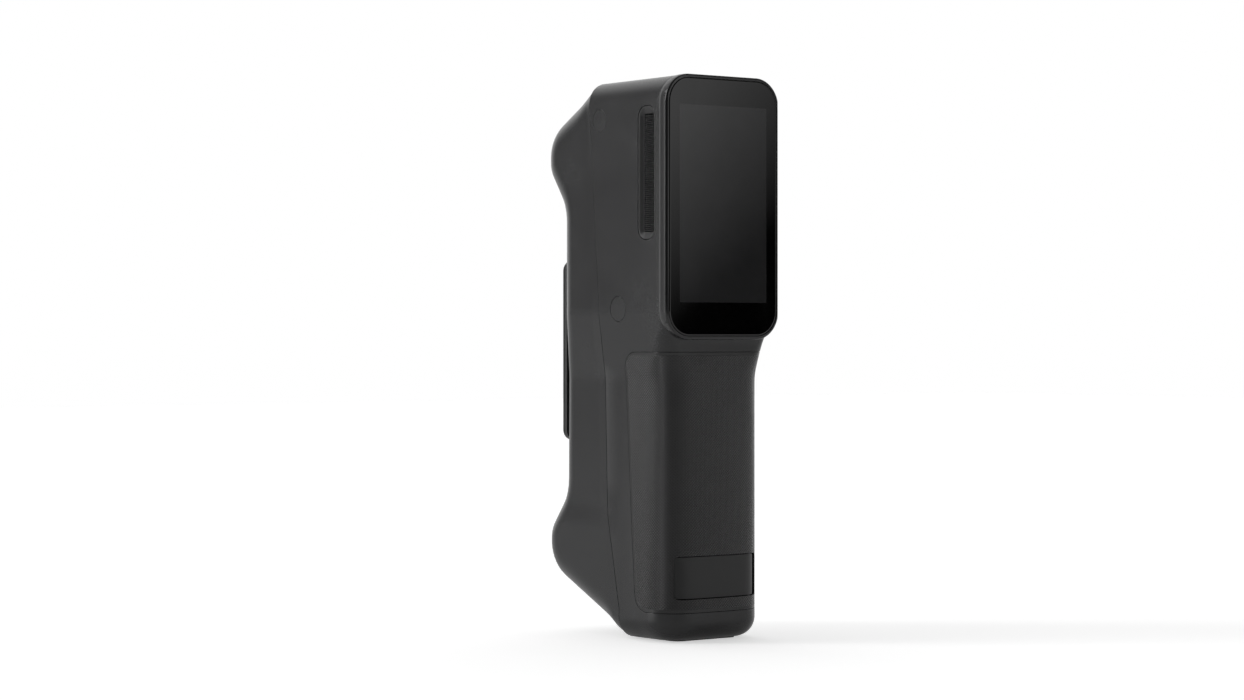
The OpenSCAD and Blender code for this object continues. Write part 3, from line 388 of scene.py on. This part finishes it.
FINISHES = {
    "housing": satin_plastic("housing_satin", (0.02, 0.02, 0.021), 0.25, 0.3, 0.01, 0.2, painted_rim_shade=True),
    "grip_rubber": knurled_rubber("grip_knurl", (0.017, 0.017, 0.0175)),
    "screen_glass": screen_finish("screen_cover_glass"),
    "display": dark_glass("display_panel_face", (0.02, 0.02, 0.024), 0.12),
    "bare_aluminium": machined_metal("milled_aluminium", (0.55, 0.56, 0.58), 0.32),
    "ribbon": film_finish("display_ribbon_film", (0.5, 0.25, 0.06)),
    "trim": satin_plastic("vent_and_ring_trim", (0.02, 0.02, 0.0205), 0.36, 0.25, 0.008, 0.8),
    "button": satin_plastic("button_cap_satin", (0.02, 0.02, 0.021), 0.27, 0.25, 0.008, 0.4),
    "circuit_board": board_finish("circuit_board_mask"),
    "cover_plastic": satin_plastic("port_cover_plastic", (0.016, 0.016, 0.0165), 0.42, 0.3, 0.01, 0.5),
    "steel": machined_metal("plated_steel", (0.55, 0.56, 0.58), 0.26, stretch=(6.0, 6.0, 1.0)),
    "plug": satin_plastic("screw_plug_satin", (0.02, 0.02, 0.021), 0.27, 0.3, 0.01, 0.2),
    "window_glass": dark_glass("window_tinted_glass", (0.004, 0.004, 0.005)),
    "lens_glass": lens_finish("lens_coating"),
    "module_plastic": satin_plastic("module_moulded_black", (0.018, 0.018, 0.019), 0.5, 0.4, 0.02, 0.3),
    "lamp": lamp_finish("fill_light_domes"),
    "cell_sleeve": satin_plastic("cell_shrink_sleeve", (0.03, 0.11, 0.24), 0.3, 1.2, 0.02, 0.2),
    "brass": machined_metal("turned_brass", (0.65, 0.45, 0.15), 0.28, stretch=(1.0, 1.0, 18.0)),
    "pad_rubber": satin_plastic("base_pad_rubber", (0.014, 0.014, 0.0145), 0.7, 0.5, 0.04, 0.2),
}


# Mesh helpers
def piece(name, mesh, slot, body="scanner_body", replaces=()):
    mesh.materials.clear()
    mesh.materials.append(FINISHES[slot])
    for polygon in mesh.polygons:
        polygon.material_index = 0
    obj = bpy.data.objects.new(name, mesh)
    bpy.context.scene.collection.objects.link(obj)
    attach(obj, body)
    if replaces:
        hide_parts(*replaces)


def loose(name, mesh):
    obj = bpy.data.objects.new(name, mesh)
    bpy.context.scene.collection.objects.link(obj)
    return obj


def applied(obj):
    """The mesh that an object's modifiers give. The object is removed."""
    mesh = bpy.data.meshes.new_from_object(obj.evaluated_get(bpy.context.evaluated_depsgraph_get()))
    bpy.data.objects.remove(obj)
    return mesh


def shaded(mesh, angle):
    """Smooth shading up to an angle, with the normals led by the large faces so that panels stay flat."""
    mesh.shade_smooth()
    mesh.set_sharp_from_angle(angle=math.radians(angle))
    obj = loose("shaded", mesh)
    modifier = obj.modifiers.new("normals", "WEIGHTED_NORMAL")
    modifier.keep_sharp = True
    modifier.weight = 80
    return applied(obj)


def mesh_from(name, bm):
    bmesh.ops.recalc_face_normals(bm, faces=bm.faces)
    mesh = bpy.data.meshes.new(name)
    bm.to_mesh(mesh)
    bm.free()
    return mesh


def cleaned(mesh, source, joined, thin):
    """Fills a mesh from its source, with close points joined and the thinnest faces gone."""
    bm = bmesh.new()
    bm.from_mesh(source)
    bmesh.ops.remove_doubles(bm, verts=bm.verts, dist=joined)
    bmesh.ops.dissolve_degenerate(bm, edges=bm.edges, dist=thin)
    bm.to_mesh(mesh)
    bm.free()
    return mesh


def merged(node):
    """A copy of a node's mesh with its loose triangles joined."""
    return cleaned(bpy.data.meshes.new(node + "_copy"), frame["nodes"][node].data, 2e-6, 1e-7)


def combined(first, second, operation):
    """The mesh of two loose objects joined, cut or kept in common. Both objects are removed."""
    modifier = first.modifiers.new("combine", "BOOLEAN")
    modifier.operation = operation
    modifier.solver = "EXACT"
    modifier.object = second
    result = applied(first)
    bpy.data.objects.remove(second)
    return result


def bridge(bm, rings, onward):
    """Faces between each ring and the one that follows it."""
    for low, high in zip(rings, onward):
        for i in range(len(low)):
            j = (i + 1) % len(low)
            bm.faces.new((low[i], low[j], high[j], high[i]))


def loft(name, rows):
    """A closed form from rings of points with equal counts, capped at both ends."""
    bm = bmesh.new()
    rings = [[bm.verts.new(point) for point in row] for row in rows]
    bridge(bm, rings, rings[1:])
    bm.faces.new(list(reversed(rings[0])))
    bm.faces.new(rings[-1])
    return mesh_from(name, bm)


# Outlines and smooth forms
def corner_points(a, p, b, r, steps):
    """Points of a rounded corner at p, between its neighbours a and b."""
    u = (Vector(a) - Vector(p)).normalized()
    v = (Vector(b) - Vector(p)).normalized()
    half = math.acos(max(-1, min(1, u.dot(v)))) / 2
    mid = Vector(p) + (u + v).normalized() * r / math.sin(half)
    arm = Vector(p) + u * r / math.tan(half) - mid
    way = 1 if arm.cross(Vector(p) - mid) > 0 else -1
    found = []
    for k in range(steps + 1):
        t = way * (math.pi - 2 * half) * k / steps
        found.append(mid + Vector((arm.x * math.cos(t) - arm.y * math.sin(t),
                                   arm.x * math.sin(t) + arm.y * math.cos(t))))
    return found


def rounded(shape, steps=CORNER_STEPS):
    found = []
    for i, (x, y, r) in enumerate(shape):
        if r == 0:
            found.append(Vector((x, y)))
        else:
            a, b = shape[i - 1], shape[(i + 1) % len(shape)]
            found += corner_points(a[:2], (x, y), b[:2], r, steps)
    return found


def crossing(points, height):
    """The lowest and highest first coordinate where an outline meets that height."""
    found = []
    for p, q in zip(points, points[1:] + points[:1]):
        if (p.y - height) * (q.y - height) <= 0 and p.y != q.y:
            t = (height - p.y) / (q.y - p.y)
            found.append(p.x + t * (q.x - p.x))
    return (min(found), max(found)) if found else None


def eased(t):
    t = max(0.0, min(1.0, t))
    return t * t * (3 - 2 * t)


def along(points, height):
    """The first coordinate on an open line of [value, height] points."""
    for (a, low), (b, high) in zip(points, points[1:]):
        if height <= high:
            return a + (b - a) * max(0.0, (height - low) / (high - low))
    return points[-1][0]


# The side view's outline in [depth, height, radius], the screen view's in [x, height, radius], and the
# crease in [depth, height]
SIDE = rounded([(2.8, 0.4, 9), (40, 0.4, 12), (101, 28.4, 20), (101, 48, 16), (88, 66, 16), (88, 196, 16),
                (101, 214, 16), (101, 233.6, 20), (62, 254.6, 10), (2, 254.6, 0), (2, 141, 0), (3.8, 135.8, 0),
                (3.8, 119, 0)])
FACE = rounded([(30, 0.4, 9), (28.7, 119, 30), (31.5, 148, 30), (31.5, 254.6, 11),
                (-31.5, 254.6, 11), (-31.5, 148, 30), (-28.7, 119, 30), (-30, 0.4, 9)])
FRONT_CORNERS = slice(CORNER_STEPS + 1, 9 * (CORNER_STEPS + 1))
FRONT_LINE = [Vector((20, 0.4))] + SIDE[FRONT_CORNERS] + [Vector((40, 254.6))]
CREASE = [(38.6, -1), (38.8, 13.4), (48.3, 56), (52.6, 155.6), (59, 235.6), (61, 256)]


def form_heights():
    """Heights of the rows, close together where the outlines turn."""
    low, high = 0.4 + SKIN, TOP_Z - SKIN
    found = {low, high}
    for a, b, steps in ((low, 10, 16), (10, 40, 14), (40, 75, 18), (75, 110, 8), (110, 155, 22), (155, 185, 8),
                        (185, 222, 18), (222, 243, 10), (243, high, 16)):
        for k in range(steps + 1):
            t = k / steps
            if a == low:
                t = 1 - math.cos(t * math.pi / 2)
            if b == high:
                t = math.sin(t * math.pi / 2)
            found.add(round(a + (b - a) * t, 4))
    return sorted(found)


def quarter_turn():
    """The sine and the cosine along a quarter turn."""
    return [(math.sin(math.pi / 2 * k / ARC_STEPS), math.cos(math.pi / 2 * k / ARC_STEPS))
            for k in range(ARC_STEPS + 1)]


def ring_at(z, points):
    """Both halves of a level ring from the points of its +X half."""
    return [at(x, depth, z) for x, depth in points + [(-x, depth) for x, depth in reversed(points)]]


def soft_min(a, b, reach):
    """The smaller of two values, with a soft change from one to the other."""
    near = max(reach - abs(a - b), 0.0) / reach
    return min(a, b) - near * near * reach / 4


def grip_points(z, half, back, front, sunk=0.0):
    """The grip's crowned back, its round corner and its side, which leans in towards the corner.

    It stays inside the solids' corner, whose facets lie on a circle."""
    rise = BASE_R - math.sqrt(BASE_R ** 2 - (BASE_EDGE - z) ** 2) if z < BASE_EDGE else 0.0
    r = FORM_R - rise - sunk
    middle = max(CORNER_X, half - FORM_R)
    full = 1 - 0.75 * eased((z - 90) / 35)
    reach = min(half + rise, CORNER_X + CORNER_R)
    meet = CORNER_DEPTH - math.sqrt(max(CORNER_R ** 2 - (reach - CORNER_X) ** 2, 0.0))
    arc = [(1 + (middle - 1) * k / 5, CORNER_DEPTH - r) for k in range(5)]
    arc += [(middle + r * sine, CORNER_DEPTH - r * cosine) for sine, cosine in quarter_turn()]
    arc += [(middle + r, CORNER_DEPTH + 17.2 * k / 8) for k in range(1, 9)] + [(middle + r, max(front, 38.5))]
    points = []
    for x, depth in arc:
        crown = back + sunk + 0.06 + 0.45 * full * (x / CORNER_X) ** 2
        lean = 0.5 * full * max(0.0, (34 - depth) / (34 - meet)) ** 1.5
        side = half - sunk - SKIN
        held = soft_min(x, side - lean, 2.0)
        points.append((held + (side - held) * eased((depth - 24) / 13), -soft_min(-depth, -crown, 1.2)))
    return points


def head_points(half, back, front):
    """The head's flat back and its rounded corner beside the screen's rim."""
    width = max(half - HEAD_FLAT, 2.0)
    length = min(HEAD_R, 0.5 * (front - back))
    points = [(1 + (half - width - 1) * k / 5, back) for k in range(5)]
    points += [(half - width + width * sine, back + length * (1 - cosine)) for sine, cosine in quarter_turn()]
    return points + [(half, back + length + (front - back - length) * k / 9) for k in range(1, 10)]


def housing_section(z, sunk=0.0):
    """The back, its corners and the side panels, from the grip's shape over to the head's."""
    back, front = crossing(SIDE, z)
    back += SKIN
    half = crossing(FACE, z)[1] - SKIN
    head = soft_min(-soft_min(-(z - NECK_Z) / NECK_RUN, 0.0, 0.15), 1.0, 0.15)
    pairs = zip(grip_points(z, half, back, front, sunk), head_points(half, back, front))
    return ring_at(z, [(a + (c - a) * head, b + (d - b) * head) for (a, b), (c, d) in pairs])


def flap_section(z):
    """The port cover's face, sunk into the housing."""
    return housing_section(z, 0.66)


def inside_front(depth, z):
    """How far a point lies inside the front, top and base lines, seen from the side."""
    point = Vector((depth, z))
    least = 1e9
    for p, q in zip(FRONT_LINE, FRONT_LINE[1:]):
        run = q - p
        t = max(0.0, min(1.0, (point - p).dot(run) / run.length_squared))
        least = min(least, (p + run * t - point).length)
    return max(0.0, least - SKIN)


def cover_outline(z):
    """The +X half of the front cover's section: side panel, the crease's chamfer and the broad round edge."""
    front = crossing(SIDE, z)[1] - SKIN
    side = crossing(FACE, min(max(z, BASE_EDGE), TOP_EDGE))[1] - SKIN
    drop = 0.5 * eased((z - 49) / 12)
    crease = min(along(CREASE, z), front - 1.2)
    edge = min(crease + 5.5 - 3.0 * eased((z - 190) / 40), front - 0.4)
    depths = [crease - 6, crease - 3, crease]
    depths += [edge + (front - edge) * sine for sine, _ in quarter_turn()]
    tight, reach, run = (11.0, 56, 20) if z > MIDDLE_Z else (9.0, 39, 16)
    broad = side - 17.3
    points = []
    for depth in depths:
        r = tight + (broad - tight) * eased((depth - reach) / run)
        t = inside_front(depth, z)
        cut = r - math.sqrt(t * (2 * r - t)) if t < r else 0.0
        band = max(0.0, min(1.0, (depth - crease) / (edge - crease)))
        points.append((side - drop * band - cut, depth))
    return points


def cover_section(z):
    """The front cover's whole level section."""
    return ring_at(z, cover_outline(z))


def cover_liner(side):
    """The lobes' side walls where their broad round edge runs deeper than the solids' wall."""
    low, high, inner_x, gap, wall = 14, 249, 15.5, 0.03, 1.5
    rows = [(z, [(x - gap, depth - gap) for x, depth in cover_outline(z)[9:] if x > inner_x])
            for z in form_heights() if low < z < high]
    count = min(len(outer) for _, outer in rows)
    rings = []
    for z, outer in rows:
        inner = [(x - wall, depth - wall) for x, depth in outer[:count]]
        rings.append([at(side * x, depth, z) for x, depth in outer[:count] + inner[::-1]])
    return loft("cover_liner", rings)


def shell_form(name, section):
    return loft(name, [section(z) for z in form_heights()])


def rounded_plate(w, low, high, r, profile):
    """Rings of a plate facing the back or the front, from [depth, inset]."""
    rows = []
    for depth, inset in profile:
        x, bottom, top, turn = w / 2 - inset, low + inset, high - inset, max(r - inset, 0.4)
        ring = rounded([(x, bottom, turn), (x, top, turn), (-x, top, turn), (-x, bottom, turn)], 16)
        rows.append([at(p.x, depth, p.y) for p in ring])
    return rows


def rim_form():
    """The screen's rim: a rounded frame block with a soft back edge and a slope into the side."""
    return loft("rim_form", rounded_plate(RIM_W, RIM_LOW, RIM_LOW + RIM_H, RIM_CORNER, [
        (SKIN, 1.0), (0.12, 0.62), (0.3, 0.3), (0.62, 0.1), (1.05, SKIN), (RIM_BAND, SKIN),
        (RIM_BAND + 0.5, 0.11), (RIM_BAND + RIM_SLOPE, 1.2)]))


class Surface:
    """A smooth form's surface, asked for its distance and its normal."""

    def __init__(self, mesh):
        self.points = [vertex.co.copy() for vertex in mesh.vertices]
        self.normals = [vertex.normal.copy() for vertex in mesh.vertices]
        self.faces = [tuple(polygon.vertices) for polygon in mesh.polygons]
        self.tree = BVHTree.FromPolygons(self.points, self.faces)

    def near(self, point):
        place, flat, face, distance = self.tree.find_nearest(point)
        corners = self.faces[face]
        if len(corners) > 4:
            return distance, flat
        weights = poly_3d_calc([self.points[i] for i in corners], place)
        normal = Vector()
        for i, weight in zip(corners, weights):
            normal += self.normals[i] * weight
        return distance, normal.normalized()


def smoothed(mesh, surfaces):
    """Takes the normals from the surfaces where the mesh lies on them, and from its own faces elsewhere."""
    mesh.shade_smooth()
    mesh.set_sharp_from_angle(angle=math.radians(28))
    near = [[surface.near(vertex.co) for surface in surfaces] for vertex in mesh.vertices]
    own = [corner.vector.copy() for corner in mesh.corner_normals]
    normals = []
    for polygon in mesh.polygons:
        corners = [mesh.loops[i].vertex_index for i in polygon.loop_indices]
        best = None
        for k in range(len(surfaces)):
            found = [near[i][k] for i in corners]
            if max(distance for distance, _ in found) < NEAR_FORM * MM:
                match = min(normal.dot(polygon.normal) for _, normal in found)
                if match > SAME_WAY and (best is None or match > best[0]):
                    best = (match, [normal for _, normal in found])
        for n, i in enumerate(polygon.loop_indices):
            if best:
                normals.append(best[1][n])
            else:
                even = own[i].dot(polygon.normal) > OWN_WAY
                normals.append(own[i] if even else polygon.normal.copy())
    mesh.normals_split_custom_set(normals)
    return mesh


def in_common(node, form, surfaces=None):
    """A node's merged copy kept only where it lies inside a smooth form, and shaded like the form."""
    surfaces = surfaces or [Surface(form)]
    mesh = combined(loose(node + "_copy", merged(node)), loose(node + "_form", form), "INTERSECT")
    return smoothed(cleaned(mesh, mesh, 8e-6, 4e-6), surfaces)


def body_form(name="body_form"):
    return shell_form(name, housing_section)


def housing_shell():
    body, rim = body_form(), rim_form()
    surfaces = [Surface(body), Surface(rim)]
    outer = combined(loose("body_form", body), loose("rim_form", rim), "UNION")
    piece("housing_shell", in_common("rear_housing", outer, surfaces), "housing", replaces=["rear_housing"])


def cover_shell():
    form = shell_form("cover_form", cover_section)
    piece("cover_shell", in_common("front_cover", form), "housing", replaces=["front_cover"])
    for side, word in ((1, "left"), (-1, "right")):
        piece("cover_liner_" + word, shaded(cover_liner(side), 40.0), "housing")


def knurled_sleeve():
    """The rubber sleeve with its wrap map: x runs round the grip, y up it, both in millimetres."""
    mesh = in_common("grip_sleeve", body_form("sleeve_form"))
    wrap = mesh.uv_layers.new(name="wrap")
    border = mesh.uv_layers.new(name="border")
    for loop in mesh.loops:
        x, y, z = (part / MM for part in mesh.vertices[loop.vertex_index].co)
        depth = SCREEN_Y - y
        turn = abs(x) - CORNER_X
        if turn <= 0:
            u = abs(x)
        elif depth < WRAP_DEPTH:
            u = CORNER_X + WRAP_R * math.atan2(turn, WRAP_DEPTH - depth)
        else:
            u = CORNER_X + WRAP_R * math.pi / 2 + depth - WRAP_DEPTH
        wrap.data[loop.index].uv = (math.copysign(u, x), z)
        front = 27.0 + (z - SLEEVE_LOW) / (SLEEVE_HIGH - SLEEVE_LOW) * 9.0
        border.data[loop.index].uv = (min(z - SLEEVE_LOW, SLEEVE_HIGH - z, front - depth), 0)
    piece("knurled_sleeve", mesh, "grip_rubber", replaces=["grip_sleeve"])


housing_shell()
cover_shell()
knurled_sleeve()


# Screen, vents, button and port cover
def screen_glass():
    """The cover glass with its ground edge."""
    low, high = RIM_LOW + GLASS_INSET, RIM_LOW + RIM_H - GLASS_INSET
    rows = rounded_plate(RIM_W - 2 * GLASS_INSET, low, high, RIM_CORNER - GLASS_INSET, [
        (1.1, 0.05), (0.35, 0.05), (0.18, 0.1), (0.06, 0.24), (0.01, 0.45), (0.0, 0.7)])
    piece("screen_cover_glass", shaded(loft("screen_cover_glass", rows), 40.0), "screen_glass",
          replaces=["touch_glass"])


def vent_frame(side):
    """The vent's trim: a flush band and a slope down to the slatted window."""
    profile = [(0.06, 29.35), (0.06, 31.1), (0.16, 31.27), (0.5, 31.3), (0.85, 31.2), (2.5, 30.2), (2.9, 30.05),
               (3.0, 29.9), (3.0, 29.35)]
    rows = []
    for inset, x in profile:
        across, up, r = 6.3 - inset, 30 - inset * 3.5 / 3, max(5.3 - inset * 1.45, 1.0)
        ring = rounded([(VENT_DEPTH + across, VENT_Z - up, r), (VENT_DEPTH + across, VENT_Z + up, r),
                        (VENT_DEPTH - across, VENT_Z + up, r), (VENT_DEPTH - across, VENT_Z - up, r)], 10)
        rows.append([at(side * x, p.x, p.y) for p in ring])
    bm = bmesh.new()
    rings = [[bm.verts.new(point) for point in row] for row in rows]
    bridge(bm, rings, rings[1:] + rings[:1])
    return shaded(mesh_from("vent_frame", bm), 34.0)


def slat_rows():
    """A node tree that stacks rounded, tilted slats up the vent's window."""
    tree = bpy.data.node_groups.new("vent_slat_rows", "GeometryNodeTree")
    tree.is_modifier = True
    inputs = {}
    for name, kind in (("Count", "NodeSocketInt"), ("Pitch", "NodeSocketFloat"), ("Length", "NodeSocketFloat"),
                       ("Thickness", "NodeSocketFloat"), ("Width", "NodeSocketFloat"), ("Tilt", "NodeSocketFloat"),
                       ("Start", "NodeSocketVector"), ("Finish", "NodeSocketMaterial")):
        inputs[name] = tree.interface.new_socket(name, in_out="INPUT", socket_type=kind).identifier
    tree.interface.new_socket("Slats", in_out="OUTPUT", socket_type="NodeSocketGeometry")
    g = Rows(tree)
    given = tree.nodes.new("NodeGroupInput")
    value = {name: Value(g, given.outputs[i]) for i, name in enumerate(inputs)}
    section = g.add("GeometryNodeCurvePrimitiveQuadrilateral", {}, {"Width": value["Width"],
                                                                   "Height": value["Thickness"]})
    soft = g.add("GeometryNodeFilletCurve", {"mode": "POLY"}, {"Curve": section, "Count": 1,
                                                              "Radius": value["Thickness"] * 0.3})
    end = g.add("ShaderNodeCombineXYZ", {}, {"Y": value["Length"]})
    path = g.add("GeometryNodeCurvePrimitiveLine", {}, {"End": end})
    slat = g.add("GeometryNodeCurveToMesh", {}, {"Curve": path, "Profile Curve": soft, "Fill Caps": True})
    up = g.add("ShaderNodeCombineXYZ", {}, {"Z": value["Pitch"]})
    line = g.add("GeometryNodeMeshLine", {"mode": "OFFSET"}, {"Count": value["Count"], "Start Location":
                                                             value["Start"], "Offset": up})
    turn = g.add("ShaderNodeCombineXYZ", {}, {"Y": value["Tilt"]})
    rows = g.add("GeometryNodeInstanceOnPoints", {}, {"Points": line, "Instance": slat, "Rotation": turn})
    solid = g.add("GeometryNodeRealizeInstances", {}, {0: rows})
    done = g.add("GeometryNodeSetMaterial", {}, {0: solid, "Material": value["Finish"]})
    out = tree.nodes.new("NodeGroupOutput")
    tree.links.new(done.socket, out.inputs[0])
    return tree, inputs


def grown(name, tree, inputs, **values):
    """The plain mesh that a node tree makes from these input values."""
    obj = loose(name, bpy.data.meshes.new(name))
    modifier = obj.modifiers.new("rows", "NODES")
    modifier.node_group = tree
    for key, value in values.items():
        modifier[inputs[key]] = value
    return applied(obj)


def vents():
    tree, inputs = slat_rows()
    depth, low = VENT_DEPTH + SLAT_LENGTH / 2, VENT_Z - (SLATS - 1) * SLAT_PITCH / 2
    for side, word in ((1, "left"), (-1, "right")):
        piece("vent_frame_" + word, vent_frame(side), "trim", replaces=["vent_insert_" + word])
        slats = grown("slats", tree, inputs, Count=SLATS, Pitch=SLAT_PITCH * MM, Length=SLAT_LENGTH * MM,
                      Thickness=0.36 * MM, Width=1.1 * MM, Tilt=side * 0.5, Start=at(side * 29.85, depth, low),
                      Finish=FINISHES["trim"])
        piece("vent_slats_" + word, shaded(slats, 40.0), "trim")


def soft_copy(name, node, slot):
    """A node's merged copy with smooth rounds."""
    piece(name, shaded(merged(node), 32.0), slot, replaces=[node])


screen_glass()
vents()
piece("scan_button_cap", in_common("scan_button", body_form()), "button", "scan_button", ["scan_button"])
piece("port_cover_flap", in_common("port_cover", shell_form("flap_form", flap_section)), "cover_plastic",
      "port_cover", ["port_cover"])
piece("side_screw_plugs", in_common("screw_plugs", body_form()), "plug", replaces=["screw_plugs"])
soft_copy("base_pad_rubber", "base_pad", "pad_rubber")
soft_copy("tripod_insert_brass", "tripod_insert", "brass")
soft_copy("port_socket_shells", "port_sockets", "steel")
soft_copy("hinge_pin_rod", "hinge_pin", "steel")


# Front window and lenses
def window_pieces():
    bezel = rounded_plate(WINDOW_W, WINDOW_LOW, WINDOW_HIGH, WINDOW_CORNER, [
        (87.45, 0.05), (89.3, 0.05), (89.75, 0.22), (89.9, 0.5)])
    piece("window_bezel", in_common("window_frame", loft("bezel_form", bezel)), "trim", replaces=["window_frame"])
    plate = rounded_plate(WINDOW_W - 0.2, WINDOW_LOW + 0.1, WINDOW_HIGH - 0.1, WINDOW_CORNER, [
        (89.9, 0.05), (90.5, 0.05), (90.75, 0.14), (90.92, 0.36), (91.0, 0.75)])
    piece("window_cover_glass", shaded(loft("window_cover_glass", plate), 40.0), "window_glass",
          replaces=["window_glass"])


def turned(name, side, profile, steps=72):
    """A ring or disc turned about a lens axis, from [radius, distance behind the lobe's tip]."""
    bm = bmesh.new()
    tilt = math.radians(LENS_TILT * side)
    middle = MIDDLE_Z + LENS_REACH * side
    rings = []
    for r, y in profile:
        ring = []
        for k in range(1 if r == 0 else steps):
            a = 2 * math.pi * k / steps
            x, z = r * math.cos(a), r * math.sin(a)
            place = Vector((x, y * math.cos(tilt) - z * math.sin(tilt) - SCREEN_Y,
                            middle + y * math.sin(tilt) + z * math.cos(tilt)))
            ring.append(bm.verts.new(place * MM))
        rings.append(ring)
    closed = rings[0] if len(rings[0]) > 1 and len(rings[-1]) > 1 else None
    pairs = list(zip(rings, rings[1:])) + ([(rings[-1], rings[0])] if closed else [])
    for low, high in pairs:
        for k in range(steps):
            m = (k + 1) % steps
            corners = [low[k % len(low)], low[m % len(low)], high[m % len(high)], high[k % len(high)]]
            bm.faces.new(list(dict.fromkeys(corners)))
    return shaded(mesh_from(name, bm), 30.0)


def lens_pieces():
    ring = [(9.45, 5.35), (9.45, 3.2), (9.3, 3.05), (9.1, 3.0), (8.6, 3.0), (8.45, 3.12), (8.45, 3.3),
            (8.1, 3.3), (8.1, 3.62), (7.7, 3.62), (7.7, 3.92), (7.25, 3.92), (7.25, 4.2), (6.8, 4.2),
            (6.75, 4.3), (6.75, 5.35)]
    glass = [(0, 3.52), (1.4, 3.54), (2.8, 3.61), (4.2, 3.73), (5.4, 3.88), (6.2, 4.02), (6.5, 4.12),
             (6.55, 4.25), (6.55, 4.95), (6.3, 5.0), (0, 5.0)]
    for side, word in ((1, "upper"), (-1, "lower")):
        piece(word + "_lens_bezel", turned(word + "_lens_bezel", side, ring), "trim",
              replaces=[word + "_lens_ring"])
        piece(word + "_lens_dome", turned(word + "_lens_dome", side, glass), "lens_glass",
              replaces=[word + "_lens_glass"])


window_pieces()
lens_pieces()


# Inner and small nodes keep their shape
def dress_nodes():
    slots = {row["node"]: row["material_slot"] for row in frame["record"]["subparts"]}
    for name, node in frame["nodes"].items():
        if node.hide_render:
            continue
        finish = FINISHES[slots[name]]
        if not node.data.materials:
            node.data.materials.append(finish)
        for slot in node.material_slots:
            slot.material = finish


dress_nodes()


# Stage and light
def studio_world():
    """White behind the object, a soft strip at the front right, dark behind the camera, a shaded panel
    for the glass to mirror and a white backdrop for the camera itself."""
    world = bpy.data.worlds.new("studio")
    bpy.context.scene.world = world
    n = Nodes(world)
    way = n.add("ShaderNodeTexCoord", output="Generated")
    x, y, z = n.split(way)
    azimuth = y.math("ARCTAN2", y, x) * (180 / math.pi)
    height = z.math("ARCSINE", z) * (180 / math.pi)
    turn = (azimuth + 180.0) / 360.0

    brightest = 8.0
    levels = [(-180, 1.0), (-90, 1.0), (-72, 0.5), (-56, 0.15), (-43, 0.3), (-39, 8.0), (-33, 7.6), (-26, 2.6),
              (-18, 0.7), (-8, 0.04), (90, 0.03), (106, 0.35), (116, 1.0), (123, 1.22), (129, 0.8), (134, 0.25),
              (150, 0.2), (166, 0.7), (180, 1.0)]
    around = turn.ramp([((angle + 180) / 360, level / brightest) for angle, level in levels])
    level = n.add("ShaderNodeSeparateColor", {}, {"Color": around}) * brightest
    tilt = height - (azimuth - 127.5)
    shade = ((tilt - 0.1) / 4.4).clamped()
    near = (1 - (azimuth - 128.0).absolute().over(6.0, 3.0)) * height.over(-1.5, 1.0)
    level = level * (1 - near * (1 - shade))
    above = height.over(38.0, 14.0)
    sky = (1 - y.over(-0.15, 0.25)) + 0.1
    level = level * (1 - above) + above * sky
    seen = n.add("ShaderNodeLightPath", output="Is Camera Ray")
    strength = level * (1 - seen) + seen
    background = n.add("ShaderNodeBackground", {}, {"Color": (1, 1, 1, 1), "Strength": strength})
    n.add("ShaderNodeOutputWorld", {}, {"Surface": background})


def studio_floor():
    bm = bmesh.new()
    bmesh.ops.create_grid(bm, x_segments=2, y_segments=2, size=4.0)
    mesh = bpy.data.meshes.new("studio_floor")
    bm.to_mesh(mesh)
    bm.free()
    floor = bpy.data.objects.new("studio_floor", mesh)
    floor.location = (0, 0, -0.0002)
    bpy.context.scene.collection.objects.link(floor)
    n = Nodes(bpy.data.materials.new("floor_paper"))
    matt = n.add("ShaderNodeBsdfDiffuse", {}, {"Color": (0.85, 0.85, 0.85, 1)})
    seen = n.add("ShaderNodeLightPath", output="Is Camera Ray")
    mirrored = n.add("ShaderNodeLightPath", output="Is Glossy Ray")
    glow = n.add("ShaderNodeEmission", {}, {"Color": (1, 1, 1, 1), "Strength": seen * 0.55 + mirrored * 0.15})
    both = n.add("ShaderNodeAddShader", {}, {0: matt, 1: glow})
    n.add("ShaderNodeOutputMaterial", {}, {"Surface": both})
    mesh.materials.append(bpy.data.materials["floor_paper"])


studio_world()
studio_floor()
